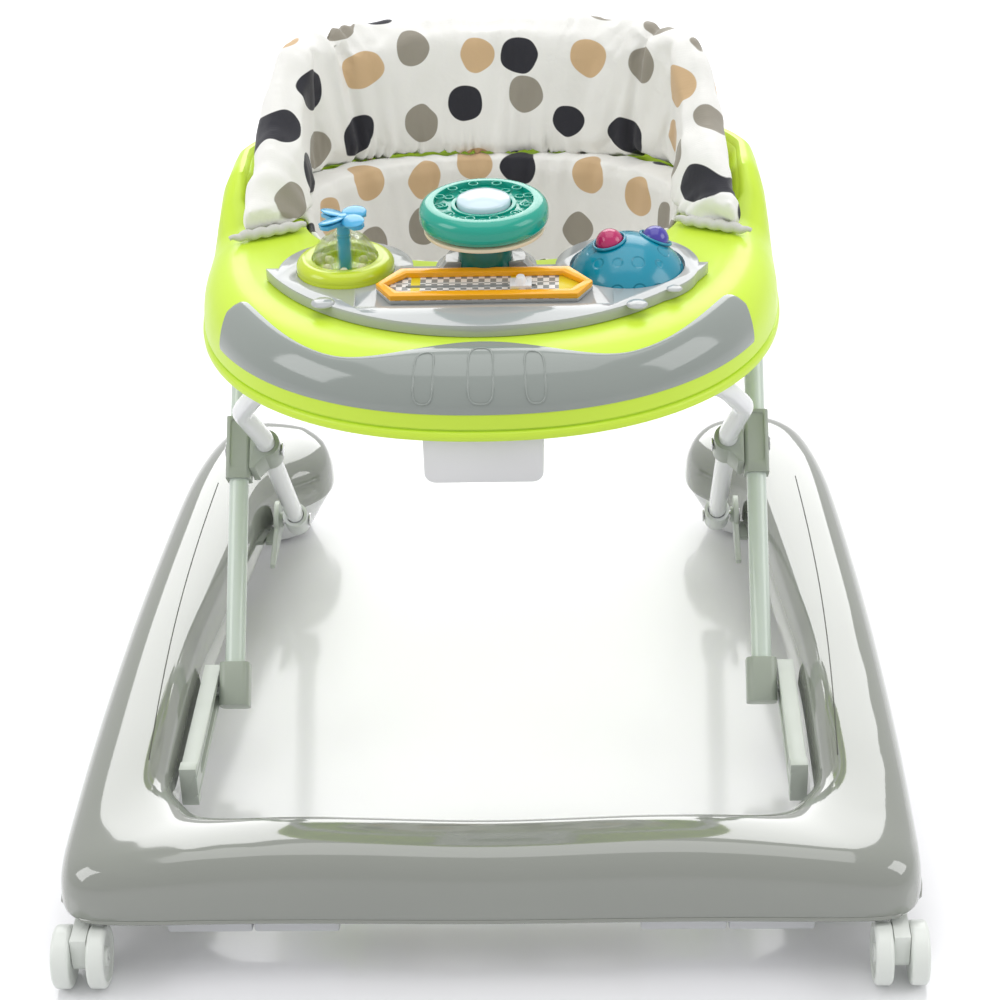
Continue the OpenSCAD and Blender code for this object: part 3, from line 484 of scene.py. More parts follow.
def dotted_cloth(name):
    """Woven cotton with rounded, uneven dots. The print follows the cloth's own UV map, in metres."""
    colour = settings().cloth_colour
    material, nodes, links, bsdf = new_finish(name)
    source = add(nodes, "ShaderNodeTexCoord")
    coords, flat = source.outputs["Object"], source.outputs["UV"]
    bend = add(nodes, "ShaderNodeTexNoise", Scale=26.0, Detail=1.0)
    shift = add(nodes, "ShaderNodeVectorMath", operation="SUBTRACT")
    shift.inputs[1].default_value = (0.5, 0.5, 0.5)
    scale = add(nodes, "ShaderNodeVectorMath", operation="SCALE")
    scale.inputs["Scale"].default_value = 0.012
    moved = add(nodes, "ShaderNodeVectorMath", operation="ADD")
    cells = add(nodes, "ShaderNodeTexVoronoi", voronoi_dimensions="2D", Randomness=0.38)
    cells.inputs["Scale"].default_value = 1 / settings().dot_pitch
    edge = add(nodes, "ShaderNodeMapRange")
    edge.inputs["From Min"].default_value = 0.305
    edge.inputs["From Max"].default_value = 0.318
    pick = add(nodes, "ShaderNodeSeparateColor")
    inks = add(nodes, "ShaderNodeValToRGB")
    inks.color_ramp.interpolation = "CONSTANT"
    tones = [(0.0, (0.012, 0.012, 0.02, 1)), (0.38, (0.30, 0.275, 0.225, 1)), (0.7, (0.62, 0.43, 0.24, 1))]
    inks.color_ramp.elements.new(0.5)
    for element, (position, tone) in zip(inks.color_ramp.elements, tones):
        element.position = position
        element.color = tone
    slow = add(nodes, "ShaderNodeTexNoise", Scale=14.0, Detail=3.0)
    ground = add(nodes, "ShaderNodeValToRGB")
    ground.color_ramp.elements[0].color = shaded(colour, 0.95)
    ground.color_ramp.elements[1].color = shaded(colour, 1.03)
    mix = add(nodes, "ShaderNodeMix", data_type="RGBA")
    links.new(flat, bend.inputs["Vector"])
    links.new(bend.outputs["Color"], shift.inputs[0])
    links.new(shift.outputs["Vector"], scale.inputs[0])
    links.new(flat, moved.inputs[0])
    links.new(scale.outputs["Vector"], moved.inputs[1])
    links.new(moved.outputs["Vector"], cells.inputs["Vector"])
    links.new(cells.outputs["Distance"], edge.inputs["Value"])
    links.new(cells.outputs["Color"], pick.inputs["Color"])
    links.new(pick.outputs["Red"], inks.inputs["Fac"])
    links.new(coords, slow.inputs["Vector"])
    links.new(slow.outputs["Fac"], ground.inputs["Fac"])
    links.new(edge.outputs["Result"], mix.inputs["Factor"])
    links.new(inks.outputs["Color"], mix.inputs[6])
    links.new(ground.outputs["Color"], mix.inputs[7])
    links.new(mix.outputs[2], bsdf.inputs["Base Color"])
    warp = add(nodes, "ShaderNodeTexWave", Scale=320.0, Distortion=0.6, bands_direction="X")
    weft = add(nodes, "ShaderNodeTexWave", Scale=320.0, Distortion=0.6, bands_direction="Z")
    woven = add(nodes, "ShaderNodeMath", operation="MULTIPLY")
    bump = add(nodes, "ShaderNodeBump", Strength=0.25, Distance=0.0003)
    links.new(coords, warp.inputs["Vector"])
    links.new(coords, weft.inputs["Vector"])
    links.new(warp.outputs["Fac"], woven.inputs[0])
    links.new(weft.outputs["Fac"], woven.inputs[1])
    links.new(woven.outputs[0], bump.inputs["Height"])
    creases = add(nodes, "ShaderNodeTexNoise", Scale=45.0, Detail=4.0, Distortion=1.2)
    folds = add(nodes, "ShaderNodeBump", Strength=0.35, Distance=0.002)
    links.new(coords, creases.inputs["Vector"])
    links.new(creases.outputs["Fac"], folds.inputs["Height"])
    links.new(bump.outputs["Normal"], folds.inputs["Normal"])
    links.new(folds.outputs["Normal"], bsdf.inputs["Normal"])
    bsdf.inputs["Roughness"].default_value = 0.75
    bsdf.inputs["Sheen Weight"].default_value = 0.25
    bsdf.inputs["Sheen Roughness"].default_value = 0.5
    finishes[name] = material
    return material


class WALKER_OT_finishes(bpy.types.Operator):
    """Makes the walker's plastics, enamels, metals and cloth, and gives them to the frame"""
    bl_idname = "walker.finishes"
    bl_label = "Finishes"

    def execute(self, context):
        s = settings()
        moulded("grey_gloss", s.shell_colour, 0.1, 1.0, 0.02, 120.0, 0.04, coat_ior=1.75)
        moulded("pale_plastic", (0.78, 0.79, 0.79), 0.16, 0.3, 0.03)
        moulded("guide_plastic", (0.5, 0.54, 0.49), 0.35, 0.1)
        moulded("fitting_plastic", (0.36, 0.4, 0.34), 0.34, 0.1)
        moulded("socket_plastic", (0.66, 0.69, 0.67), 0.3, 0.1)
        moulded("pad_rubber", (0.68, 0.69, 0.71), 0.5)
        moulded("castor_plastic", (0.74, 0.77, 0.73), 0.3, 0.2)
        moulded("rear_tyre", (0.05, 0.05, 0.055), 0.6, 0.0, 0.1, 700.0, 0.3)
        moulded("steel", (0.62, 0.62, 0.63), 0.25, 0.0, 0.05, 900.0, 0.1, 1.0)
        moulded("white_tube", (0.86, 0.87, 0.89), 0.14, 0.5, 0.02)
        moulded("green_tube", (0.62, 0.70, 0.63), 0.18, 0.4, 0.02)
        moulded("lime_plastic", s.tray_colour, 0.34, 0.08, 0.03, 1100.0, 0.1)
        moulded("fascia_grey", s.fascia_colour, 0.12, 0.5, 0.03, 120.0, 0.04)
        moulded("panel_grey", s.panel_colour, 0.12, 0.5, 0.02, 120.0, 0.04)
        moulded("white_plastic", (0.8, 0.8, 0.81), 0.35)
        moulded("spinner_lime", (0.55, 0.68, 0.02), 0.16, 0.4)
        clear_finish("clear_plastic", (0.95, 0.98, 1.0), 0.03)
        moulded("sky_plastic", (0.05, 0.36, 0.62), 0.18, 0.4)
        moulded("bead_plastic", (0.86, 0.8, 0.5), 0.3, 0.2)
        moulded("dark_green_plastic", (0.0, 0.13, 0.1), 0.22, 0.3)
        moulded("teal_plastic", (0.0, 0.33, 0.24), 0.2, 0.35)
        moulded("cream_plastic", (0.8, 0.66, 0.47), 0.3, 0.2)
        moulded("horn_plastic", (0.62, 0.76, 0.84), 0.15, 0.4)
        moulded("amber_plastic", (0.95, 0.44, 0.01), 0.18, 0.35)
        card_finish("card_print")
        moulded("figure_plastic", (0.86, 0.88, 0.9), 0.2, 0.3)
        dimpled("ocean_plastic", (0.0, 0.25, 0.37))
        moulded("magenta_plastic", (0.5, 0.005, 0.12), 0.2, 0.6, 0.3)
        moulded("violet_plastic", (0.05, 0.035, 0.36), 0.2, 0.6, 0.3)
        dotted_cloth("dotted_fabric")
        moulded("binding_cloth", (0.6, 0.6, 0.57), 0.8, 0.0, 0.1, 500.0, 0.5)
        # Painted shadow: a near-black finish for the thin bars along the base's rail grooves.
        moulded("groove_shadow", (0.1, 0.105, 0.09), 0.6)
        for node, piece in frame["nodes"].items():
            piece.data.materials.clear()
            piece.data.materials.append(finishes[SLOTS[node]])
        return {"FINISHED"}


# ---- stage ----

class WALKER_OT_stage(bpy.types.Operator):
    """Lays a pale floor, hangs soft lights and sets up the camera"""
    bl_idname = "walker.stage"
    bl_label = "Stage"

    def execute(self, context):
        scene = context.scene
        bpy.ops.object.select_all(action="DESELECT")
        bpy.ops.mesh.primitive_plane_add(size=30, location=(0, 0, 0))
        floor = context.active_object
        floor.name = "studio_floor"
        material = moulded("floor_white", (0.9, 0.9, 0.92), 0.12, 0.0, 0.004, 30.0, 0.0)
        floor.data.materials.append(material)
        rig.stage(floor)
        world = bpy.data.worlds.new("studio_world")
        world.use_nodes = True
        world.node_tree.nodes["Background"].inputs["Color"].default_value = (1, 1, 1, 1)
        world.node_tree.nodes["Background"].inputs["Strength"].default_value = 0.75
        scene.world = world
        for name, place, aim, size, power in [
                ("softbox_top", (0, 0.1, 2.6), (0, 0, 0.2), 2.2, 16),
                ("softbox_left", (-2.4, -0.8, 1.8), (0, 0, 0.3), 1.4, 16),
                ("softbox_right", (2.4, -0.4, 1.6), (0, 0, 0.3), 1.4, 14),
                ("softbox_back", (0, 3.6, 2.3), (0, 0, 0.2), 3.2, 80)]:
            light = bpy.data.lights.new(name, "AREA")
            light.size = size
            light.energy = power
            lamp = bpy.data.objects.new(name, light)
            scene.collection.objects.link(lamp)
            lamp.location = place
            lamp.rotation_euler = (Vector(aim) - Vector(place)).to_track_quat("-Z", "Y").to_euler()
        lens = bpy.data.cameras.new("walker_camera")
        lens.lens = 88.4
        lens.sensor_width = 36
        camera = bpy.data.objects.new("walker_camera", lens)
        scene.collection.objects.link(camera)
        turn = (Matrix.Rotation(0.0443, 4, "Z") @ Matrix.Rotation(math.pi / 2 - 0.520, 4, "X")
                @ Matrix.Rotation(-0.0339, 4, "Z"))
        camera.matrix_world = Matrix.Translation((0.0793, -1.6955, 1.1745)) @ turn
        scene.camera = camera
        scene.view_settings.view_transform = "Standard"
        return {"FINISHED"}


# ---- base ----

class WALKER_OT_base(bpy.types.Operator):
    """Rounds the base shell and adds its lower lip, thin bars of painted shadow along the rail grooves, housings and
    fittings
    """
    bl_idname = "walker.base"
    bl_label = "Base"

    def execute(self, context):
        shell = refined("base_shell", levels=2, angle=50)
        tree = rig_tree(shell)
        edge = outline_at(tree, 0.0515)
        lip = bar("base_lip", edge, 0.0017, 8)
        finish_piece(lip, "base", "grey_gloss")
        for side, name in ((-1, "left"), (1, "right")):
            # Thin near-black bars draped along the rails: painted shadow, standing in for the shade in the rail
            # grooves.
            line = [drop(tree, side * (258 + 6 * math.sin(i / 26 * 3.1)) / 1000,
                         AXLE_Y + (140 + i * 16) / 1000, 0.0002) for i in range(27)]
            groove_shadow_bar = bar("rail_groove_shadow_" + name, [p for p in line if p], 0.0004, 6)
            finish_piece(groove_shadow_bar, "base", "grey_gloss", material=finishes["groove_shadow"])
            refined("rear_housing_" + name, 0.0012)
            refined("guide_channel_" + name)
        for node in ("bracket_plates", "castor_sockets"):
            refined(node)
        refined("friction_pads", 0.002)
        return {"FINISHED"}


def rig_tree(piece):
    return BVHTree.FromObject(piece, bpy.context.evaluated_depsgraph_get())


def drop(tree, x, y, lift=0.0):
    """The point where a line from above meets the surface."""
    hit = tree.ray_cast(Vector((x, y, 1.0)), Vector((0, 0, -1)))
    return hit[0] + Vector((0, 0, lift)) if hit[0] else None


def outline_at(tree, z):
    """The outer edge of the base, front and sides, just above its lower rim."""
    points = []
    for i in range(49):
        y = 0.352 - i * 0.0138
        hit = tree.ray_cast(Vector((-0.6, y, z)), Vector((1, 0, 0)))
        if hit[0]:
            points.append(hit[0])
    for i in range(1, 60):
        x = -0.3 + i * 0.01
        hit = tree.ray_cast(Vector((x, -0.6, z)), Vector((0, 1, 0)))
        if hit[0]:
            points.append(hit[0])
    for i in range(48, -1, -1):
        y = 0.352 - i * 0.0138
        hit = tree.ray_cast(Vector((0.6, y, z)), Vector((-1, 0, 0)))
        if hit[0]:
            points.append(hit[0])
    return points


class WALKER_OT_rolling(bpy.types.Operator):
    """Rounds the castors, their forks and the rear wheels"""
    bl_idname = "walker.rolling"
    bl_label = "Castors and wheels"

    def execute(self, context):
        for side in ("left", "right"):
            refined("castor_fork_" + side, 0.0012)
            refined("castor_outer_wheel_" + side, 0.0006)
            refined("castor_inner_wheel_" + side, 0.0006)
            refined("rear_wheel_" + side, 0.0006)
        return {"FINISHED"}


class WALKER_OT_arms(bpy.types.Operator):
    """Smooths the crossed tube arms and rounds their clamps, feet and rivets"""
    bl_idname = "walker.arms"
    bl_label = "Arms"

    def execute(self, context):
        refined("arm_a_tube", levels=1, angle=60)
        for side in ("left", "right"):
            for node in ("arm_a_foot_", "arm_b_sleeve_", "arm_b_slider_"):
                refined(node + side, 0.0014)
        for node in ("arm_a_collars", "arm_b_heads"):
            refined(node, 0.0012)
        for node in ("foot_pins", "slider_pins", "cross_pins", "head_pins"):
            refined(node, 0.0006)
        return {"FINISHED"}


# ---- tray ----

def signed(value, power):
    return math.copysign(abs(value) ** power, value)


def ease(value):
    c = max(0.0, min(1.0, value))
    return c * c * (3 - 2 * c)


def mixed(a, b, share):
    return a + (b - a) * share


def tray_outer(t, inset=0.0):
    c, s = signed(math.cos(t), TRAY_POWER), signed(math.sin(t), TRAY_POWER)
    x = (TRAY_HALF - inset) * c
    if s > 0:
        return Vector((x, 0.4 + s * (0.14 - inset) + 0.1 * min(1, s * 4)))
    return Vector((x, 0.4 + s * (0.228 - inset)))


def tray_hole(t, grow=0.0):
    return Vector(((0.15 + grow) * signed(math.cos(t), TRAY_POWER),
                   HOLE_Y + (0.098 + grow) * signed(math.sin(t), TRAY_POWER)))


def rim_depth(y):
    return mixed(0.05, 0.022, ease((y - 0.405) / 0.045))


def rim_top(y):
    return mixed(0.4, 0.43, ease((y - 0.43) / 0.05))


def tray_profile(t, wall, steps=14):
    """Points of the tray along one direction: lip, band, groove, rounded rim, dish and seat hole."""
    outer, hole = tray_outer(t, wall), tray_hole(t, wall)
    depth, top = rim_depth(outer.y) - wall, rim_top(outer.y) - wall
    way = (hole - outer).normalized()
    lip, floor_z = LIP_Z + 0.0095, DECK_Z - wall

    def point(inward, z):
        return Vector((outer.x + way.x * inward, AXLE_Y + outer.y + way.y * inward, z))

    rows = [point(0.0012, LIP_Z), point(-0.0006, LIP_Z + 0.0012), point(-0.0008, LIP_Z + 0.0035),
            point(-0.0004, LIP_Z + 0.006), point(0.0008, LIP_Z + 0.0072), point(0.0032, LIP_Z + 0.0076),
            point(0.0034, LIP_Z + 0.0088)]
    for k in range(steps + 1):
        a = math.pi / 2 * k / steps
        rows.append(point(0.0016 + depth * (1 - math.cos(a) ** 0.8), lip + (top - lip) * math.sin(a) ** 0.8))
    for k in range(1, 7):
        rows.append(point(0.002 + depth + (0.004 + wall) * k / 2, mixed(top, floor_z, ease(k / 6))))
    rows += [Vector((hole.x - way.x * 0.004, AXLE_Y + hole.y - way.y * 0.004, floor_z)),
             Vector((hole.x - way.x * 0.001, AXLE_Y + hole.y - way.y * 0.001, floor_z - 0.001)),
             Vector((hole.x, AXLE_Y + hole.y, floor_z - 0.004)),
             Vector((hole.x, AXLE_Y + hole.y, DECK_Z - 0.02))]
    return rows


def fascia_point(t, share, proud):
    outer, hole = tray_outer(t), tray_hole(t)
    depth, top = rim_depth(outer.y), rim_top(outer.y)
    v = abs(math.degrees(t) - 270) / FASCIA_SPREAD
    if v < 0.45:
        high = mixed(88, 56, ease(v / 0.45))
    else:
        high = mixed(56, 72, ease((v - 0.45) / 0.45)) * math.sqrt(1 - (max(0, v - 0.9) / 0.1) ** 2 * 0.6)
    way, lip = (hole - outer).normalized(), LIP_Z + 0.007
    a = math.radians(mixed(12, high, share))
    inward = 0.002 + depth * (1 - math.cos(a) ** 0.8) - proud * math.cos(a)
    return Vector((outer.x + way.x * inward, AXLE_Y + outer.y + way.y * inward,
                   lip + (top - lip) * math.sin(a) ** 0.8 + proud * math.sin(a)))


class WALKER_OT_tray(bpy.types.Operator):
    """Builds the tray with its rounded rim and lower band, and the grey cover on its front"""
    bl_idname = "walker.tray"
    bl_label = "Tray"

    def execute(self, context):
        count = 160
        rings = []
        for i in range(count):
            t = 2 * math.pi * i / count
            rings.append(tray_profile(t, 0.0) + tray_profile(t, 0.003)[::-1])
        tray = skin("tray_skin", rings, True)
        smooth_by(tray, 40)
        finish_piece(tray, "tray", "lime_plastic", ["tray_shell"])
        steps, rows = 96, 18
        rings = []
        for i in range(steps + 1):
            t = math.radians(270 + FASCIA_SPREAD * (2 * i / steps - 1) * 0.99)
            face = [fascia_point(t, k / rows, 0.0024 - 0.0014 * (abs(2 * k / rows - 1) ** 8))
                    for k in range(rows, -1, -1)]
            rings.append(face + [fascia_point(t, k / rows, 0.0006) for k in range(rows + 1)])
        cover = skin("fascia_skin", rings)
        smooth_by(cover, 50)
        finish_piece(cover, "tray", "fascia_grey", ["tray_fascia"])
        marks = []
        width, low, high = 3.4, 0.12, 0.86
        for middle in (-9.0, 0, 8.5):
            path = []
            for i in range(48):
                a = 2 * math.pi * i / 48
                across = middle + width / 2 * signed(math.cos(a), 0.8)
                share = (low + high) / 2 + (high - low) / 2 * signed(math.sin(a), 0.35)
                path.append(fascia_point(math.radians(270 + across), share, 0.0023))
            marks.append(bar("fascia_mark", path, 0.0008, 8, True))
        finish_piece(joined("fascia_marks", marks), "tray", "fascia_grey")
        for node in ("adjuster_housing", "adjuster_handle"):
            refined(node, 0.0016)
        refined("tray_brackets")
        return {"FINISHED"}


def propeller_petals(count=4):
    """Rounded petals over the spinner's blades, each tipped like a propeller's."""
    low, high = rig.box("spinner_rotor")
    petals = []
    for i in range(count):
        turn = math.pi / 4 + 2 * math.pi * i / count
        bpy.ops.object.select_all(action="DESELECT")
        bpy.ops.mesh.primitive_uv_sphere_add(radius=0.0078, segments=32, ring_count=16)
        petal = bpy.context.active_object
        petal.scale = (1.35, 1, 0.2)
        settle(petal)
        petal.rotation_euler = (math.radians(14), 0, 0)
        settle(petal)
        petal.location = (0.0115, 0, 0)
        settle(petal)
        petal.rotation_euler = (0, 0, turn)
        petal.location = ((low.x + high.x) / 2, (low.y + high.y) / 2, high.z - 0.0016)
        settle(petal)
        petal.data.shade_smooth()
        petals.append(petal)
    return petals


class WALKER_OT_toys(bpy.types.Operator):
    """Rounds the toy panel and its toys, and adds rims, rings and bumps"""
    bl_idname = "walker.toys"
    bl_label = "Toys"

    def execute(self, context):
        refined("toy_panel", 0.0022, 50)
        bumps = []
        for x, y, r in PANEL_BUMPS:
            bpy.ops.object.select_all(action="DESELECT")
            bpy.ops.mesh.primitive_uv_sphere_add(radius=r / 1000, segments=32, ring_count=16,
                                                 location=at(x, y, 408.6))
            bump = context.active_object
            bump.scale = (1, 1, 0.32)
            settle(bump)
            bump.data.shade_smooth()
            bumps.append(bump)
        finish_piece(joined("panel_bumps", bumps), "tray", "panel_grey")
        for node in ("spinner_base", "spinner_rotor", "spinner_beads", "steering_disc", "steering_column"):
            refined(node, 0.0007)
        refined("spinner_dome", 0.0004, 60)
        finish_piece(joined("spinner_petals", propeller_petals()), "spinner", "sky_plastic")
        refined("steering_wheel", 0.0012, 50)
        refined("horn_button", 0.0012, 50)
        spring_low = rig.box("horn_spring")[0]
        spring = refined("horn_spring", 0.00005)
        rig.squash(spring, "horn_press", axis=(0, 0, 1), anchor=tuple(spring_low), keep=0.2)
        low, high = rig.box("steering_wheel")
        middle = (low + high) / 2
        count = settings().wheel_rings
        rings = []
        for i in range(count):
            a = 2 * math.pi * (i + 0.5) / count
            place = (middle.x + 0.034 * math.cos(a), middle.y + 0.034 * math.sin(a), high.z - 0.0008)
            rings.append(ring_piece("wheel_mark", place, 0.0034, 0.0006))
        finish_piece(joined("wheel_marks", rings), "steering", "teal_plastic")
        refined("window_bezel", 0.0019, 50)
        card = refined("window_card", 0.0003)
        card.data.materials.append(finishes["panel_grey"])
        for face in card.data.polygons:
            face.material_index = 0 if face.normal.z > 0.7 else 1
        refined("window_slider", 0.0008)
        refined("ball_dome", 0.0008, 50)
        for name in ("ball_inner", "ball_outer"):
            refined(name, 0.0001, 80)
            lo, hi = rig.box(name)
            centre = (lo + hi) / 2
            bowl_lo, bowl_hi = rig.box("ball_dome")
            bowl = (bowl_lo + bowl_hi) / 2
            out = Vector((centre.x - bowl.x, centre.y - bowl.y, 0.05)).normalized()
            rim = ring_piece("socket_rim_" + name, centre + out * 0.0012, 0.0122, 0.0011, out)
            finish_piece(rim, "tray", "ocean_plastic")
        return {"FINISHED"}


# ---- seat ----

def outline_lengths(half_x, half_y, count=180):
    """Distance along the seat's outline from the middle of its back, for each direction from the centre."""
    run, before, rows = 0.0, Vector((0, half_y)), [(0.0, 0.0)]
    for i in range(1, count + 1):
        a = math.pi / 2 - math.pi * i / count
        here = Vector((half_x * signed(math.cos(a), SEAT_POWER), half_y * signed(math.sin(a), SEAT_POWER)))
        run += (here - before).length
        rows.append((math.atan2(here.x, here.y), run))
        before = here
    return rows


def length_at(rows, turn):
    """Distance along the outline at a direction, looked up between two rows."""
    angles = [row[0] for row in rows]
    k = max(1, min(len(rows) - 1, bisect.bisect_left(angles, abs(turn))))
    (a0, d0), (a1, d1) = rows[k - 1], rows[k]
    return math.copysign(mixed(d0, d1, (abs(turn) - a0) / max(1e-6, a1 - a0)), turn)


def flat_map(piece, half_x, half_y, floor_z=0.0):
    """Lays a UV map in metres around the seat, so a print keeps its size.

    Faces below floor_z are mapped from above, as one flat panel.
    """
    rows = outline_lengths(half_x, half_y)
    layer = piece.data.uv_layers.new(name="cloth")
    centre = Vector((0, AXLE_Y + HOLE_Y))
    for face in piece.data.polygons:
        on_floor = face.center.z < floor_z
        for index in face.loop_indices:
            p = piece.data.vertices[piece.data.loops[index].vertex_index].co
            away = Vector((p.x, p.y)) - centre
            around = length_at(rows, math.atan2(away.x, away.y))
            layer.data[index].uv = (p.x, p.y) if on_floor else (around + 0.5, p.z + away.length * 0.45 + 0.5)


def swell(piece, cap, pressure=4.0):
    """Fills the padded piece with air as cloth, then caps how far each point moves."""
    rest = [v.co.copy() for v in piece.data.vertices]
    step = piece.modifiers.new("Cloth", "CLOTH")
    step.settings.use_pressure = True
    step.settings.uniform_pressure_force = pressure
    step.settings.effector_weights.gravity = 0
    step.settings.quality = 4
    scene = bpy.context.scene
    for f in range(1, 21):
        scene.frame_set(f)
    apply_all(piece)
    for v, r in zip(piece.data.vertices, rest):
        move = v.co - r
        if move.length > cap:
            v.co = r + move.normalized() * cap
    scene.frame_set(1)


def wrinkle(piece, depth, extra):
    """Pushes the cloth in and out along its normals with long, uneven folds."""
    piece.data.update()
    normals = [v.normal.copy() for v in piece.data.vertices]
    centre = Vector((0, AXLE_Y + HOLE_Y))
    for v, n in zip(piece.data.vertices, normals):
        p = v.co
        away = Vector((p.x, p.y)) - centre
        angle = math.atan2(away.x, away.y)
        lead = Vector((angle * 2.4, p.z * 7, 0.3))
        folds = noise.noise(Vector((angle * 9 + 1.7 * noise.noise(lead), p.z * 9, 4.2)))
        small = noise.noise(Vector((p.x * 55, p.y * 55, p.z * 30)))
        v.co = p + n * depth * (0.9 * folds + 0.35 * small + extra(angle, p.z))


def wing_reach(up):
    """How far sideways the lower edge of the padded back stands, spreading towards the wings' tips."""
    return mixed(0.190, 0.174, ease((up + 0.34) / 0.34))


def back_ring(a):
    """Cross-section of the padded back in one direction, from its inner edge over the top to the outer."""
    c, s = signed(math.cos(a), SEAT_POWER), signed(math.sin(a), SEAT_POWER)
    up = math.sin(a)
    low = DECK_Z + 0.0005 + mixed(0.005, 0.0, ease(up / 0.3))
    top = mixed(0.42, 0.52, ease((up + 0.45) / 0.95))
    low_a = wing_reach(up)
    rise = (top - low) / 0.12
    foot = mixed(0.042, PAD_HALF, ease((up + 0.34) / 0.9))
    wide, deep = mixed(low_a, 0.172, rise), mixed(0.112, 0.138, rise)
    climb = ((0.7, 0.0), (1, 0.04), (1, 0.2), (1, 0.4), (1, 0.6), (1, 0.78), (0.8, 0.9), (0.45, 0.97))
    ring = []
    section = [(-side, share) for side, share in climb] + [(0, 1.0)] + list(climb[::-1])
    for side, share in section:
        half = side * (mixed(foot, PAD_HALF, share) if side < 0 else PAD_HALF)
        ring.append(Vector(((mixed(low_a, wide, share) + half) * c,
                            AXLE_Y + HOLE_Y + (mixed(0.112, deep, share) + half) * s,
                            mixed(low, top, share))))
    return ring


def lap_ring(a):
    """Cross-section of the sling's cloth where it laps over the hole's edge and reaches under the back."""
    c, s = signed(math.cos(a), SEAT_POWER), signed(math.sin(a), SEAT_POWER)
    hole = tray_hole(a, -0.004)
    inner = Vector((hole.x, hole.y - HOLE_Y))
    outer = Vector(((wing_reach(math.sin(a)) - 0.004) * c, 0.108 * s))
    ring = []
    for share, z in ((0.0, 0.385), (0.0, 0.402), (0.05, 0.4058), (0.3, 0.4066), (0.7, 0.4062), (1.0, 0.4055),
                     (1.0, DECK_Z + 0.0004), (0.5, DECK_Z + 0.0004), (0.12, DECK_Z + 0.0004), (-0.08, 0.3965),
                     (-0.08, 0.385)):
        p = inner.lerp(outer, share)
        ring.append(Vector((p.x, AXLE_Y + HOLE_Y + p.y, z)))
    return ring


def back_folds(angle, z):
    """Creases where the wings meet the back, and gathers along its lower and upper edges."""
    crease = -1.5 * sum(math.exp(-((angle - a) / 0.03) ** 2) for a in (-0.9, 0.9))
    uneven = noise.noise(Vector((angle * 5, 0.0, 7.7)))
    ragged = noise.noise(Vector((angle * 14, z * 20, 1.3)))
    gather = 0.75 * math.sin(angle * 33 + 22 * uneven) * (0.5 + ragged) * math.exp(-((z - 0.404) / 0.02) ** 2)
    top = 0.5 * math.sin(angle * 24 + 18 * uneven) * (0.5 + ragged) * math.exp(-((z - 0.515) / 0.014) ** 2)
    return crease + gather + top


def binding_radius(share):
    """Half the thickness of the wings' binding: pinched at its outer end, full along the middle."""
    return mixed(0.0018, 0.0042, ease(share / 0.22)) * mixed(1.0, 0.55, ease((share - 0.8) / 0.2))


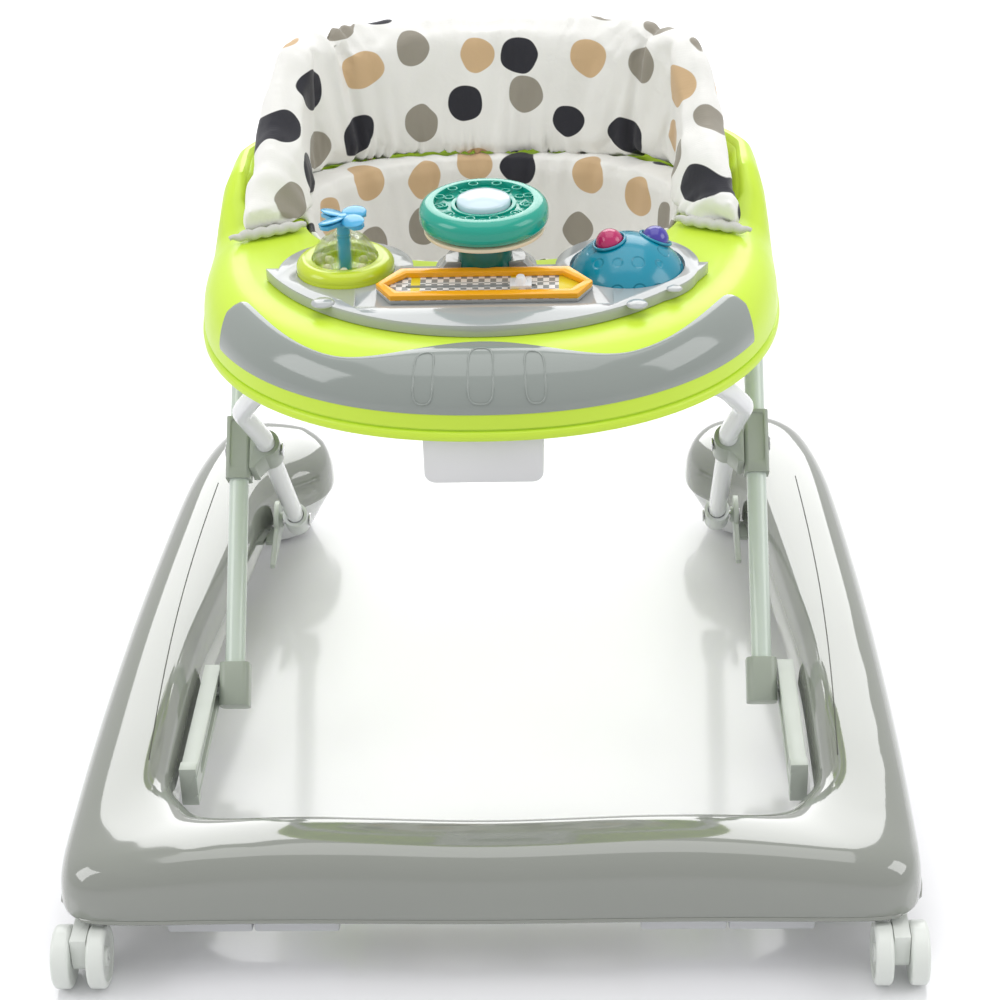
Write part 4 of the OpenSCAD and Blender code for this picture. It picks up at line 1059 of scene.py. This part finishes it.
class WALKER_OT_seat(bpy.types.Operator):
    """Makes the padded back and the hanging seat, with creases, folds and gathered binding"""
    bl_idname = "walker.seat"
    bl_label = "Seat"

    def execute(self, context):
        s = settings()
        back = skin("seat_back_cloth", [back_ring(math.radians(mixed(-20, 200, i / 90))) for i in range(91)])
        step = back.modifiers.new("Even", "REMESH")
        step.mode = "VOXEL"
        step.voxel_size = 0.0045
        apply_all(back)
        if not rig.quick():
            swell(back, 0.006)
        step = back.modifiers.new("Finer", "SUBSURF")
        step.levels = step.render_levels = 1
        apply_all(back)
        wrinkle(back, s.wrinkle_depth, back_folds)
        source = frame["nodes"]["seat_sling"]
        sling = bpy.data.objects.new("seat_sling_cloth", source.data.copy())
        context.scene.collection.objects.link(sling)
        only(sling)
        bpy.ops.mesh.customdata_custom_splitnormals_clear()
        bpy.ops.object.mode_set(mode="EDIT")
        bpy.ops.mesh.select_all(action="SELECT")
        bpy.ops.mesh.remove_doubles(threshold=0.00002)
        bpy.ops.object.mode_set(mode="OBJECT")
        lap = skin("seat_lap", [lap_ring(math.radians(mixed(-6, 186, i / 120))) for i in range(121)])
        sling = joined("seat_sling_cloth", [sling, lap])
        step = sling.modifiers.new("Even", "REMESH")
        step.mode = "VOXEL"
        step.voxel_size = 0.0026
        soft = sling.modifiers.new("Soft", "SMOOTH")
        soft.iterations = 6
        apply_all(sling)
        seat_floor = min(v.co.z for v in sling.data.vertices) + 0.012
        wrinkle(sling, 0.0015,
                lambda angle, z: 0.6 * math.sin(angle * 38) * math.exp(-((z - 0.396) / 0.02) ** 2))
        for piece, node, fill in ((back, "seat_back", 0.7), (sling, "seat_sling", 0.2)):
            piece.data.shade_smooth()
            flat_map(piece, *((0.178, 0.125) if piece is back else (0.15, 0.098, seat_floor)))
            finish_piece(piece, "tray", "dotted_fabric", [node])
            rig.padded(piece, fill=fill)
        for side, name in ((-1, "left"), (1, "right")):
            path = [Vector((side * mixed(0.203, 0.146, i / 39), AXLE_Y + HOLE_Y - mixed(0.062, 0.036, i / 39),
                            0.4052 + 0.0007 * math.sin(i * 0.9))) for i in range(40)]
            hem = bar("binding_" + name, path, binding_radius, 14)
            finish_piece(hem, "tray", "dotted_fabric", material=finishes["binding_cloth"])
        return {"FINISHED"}


class WALKER_PT_panel(bpy.types.Panel):
    """Lists the steps that build the walker"""
    bl_idname = "WALKER_PT_panel"
    bl_label = "Walker"
    bl_space_type = "VIEW_3D"
    bl_region_type = "UI"
    bl_category = "Walker"

    def draw(self, context):
        layout = self.layout
        for name in WalkerSettings.__annotations__:
            layout.prop(context.scene.walker, name)
        for step in STEPS:
            layout.operator(step.bl_idname)


STEPS = (WALKER_OT_finishes, WALKER_OT_stage, WALKER_OT_base, WALKER_OT_rolling, WALKER_OT_arms,
         WALKER_OT_tray, WALKER_OT_toys, WALKER_OT_seat)
CLASSES = (WalkerSettings, *STEPS, WALKER_PT_panel)


def register():
    for c in CLASSES:
        bpy.utils.register_class(c)
    bpy.types.Scene.walker = PointerProperty(type=WalkerSettings)


def unregister():
    del bpy.types.Scene.walker
    for c in reversed(CLASSES):
        bpy.utils.unregister_class(c)


def main():
    register()
    bpy.ops.walker.finishes()
    bpy.ops.walker.stage()
    bpy.ops.walker.base()
    bpy.ops.walker.rolling()
    bpy.ops.walker.arms()
    bpy.ops.walker.tray()
    bpy.ops.walker.toys()
    bpy.ops.walker.seat()
    bpy.context.view_layer.update()
    with open("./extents.json", "w") as out:
        json.dump({"cad": [list(p) for p in cad_box], "visual": [list(p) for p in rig.bounds()]}, out)


if __name__ == "__main__":
    main()
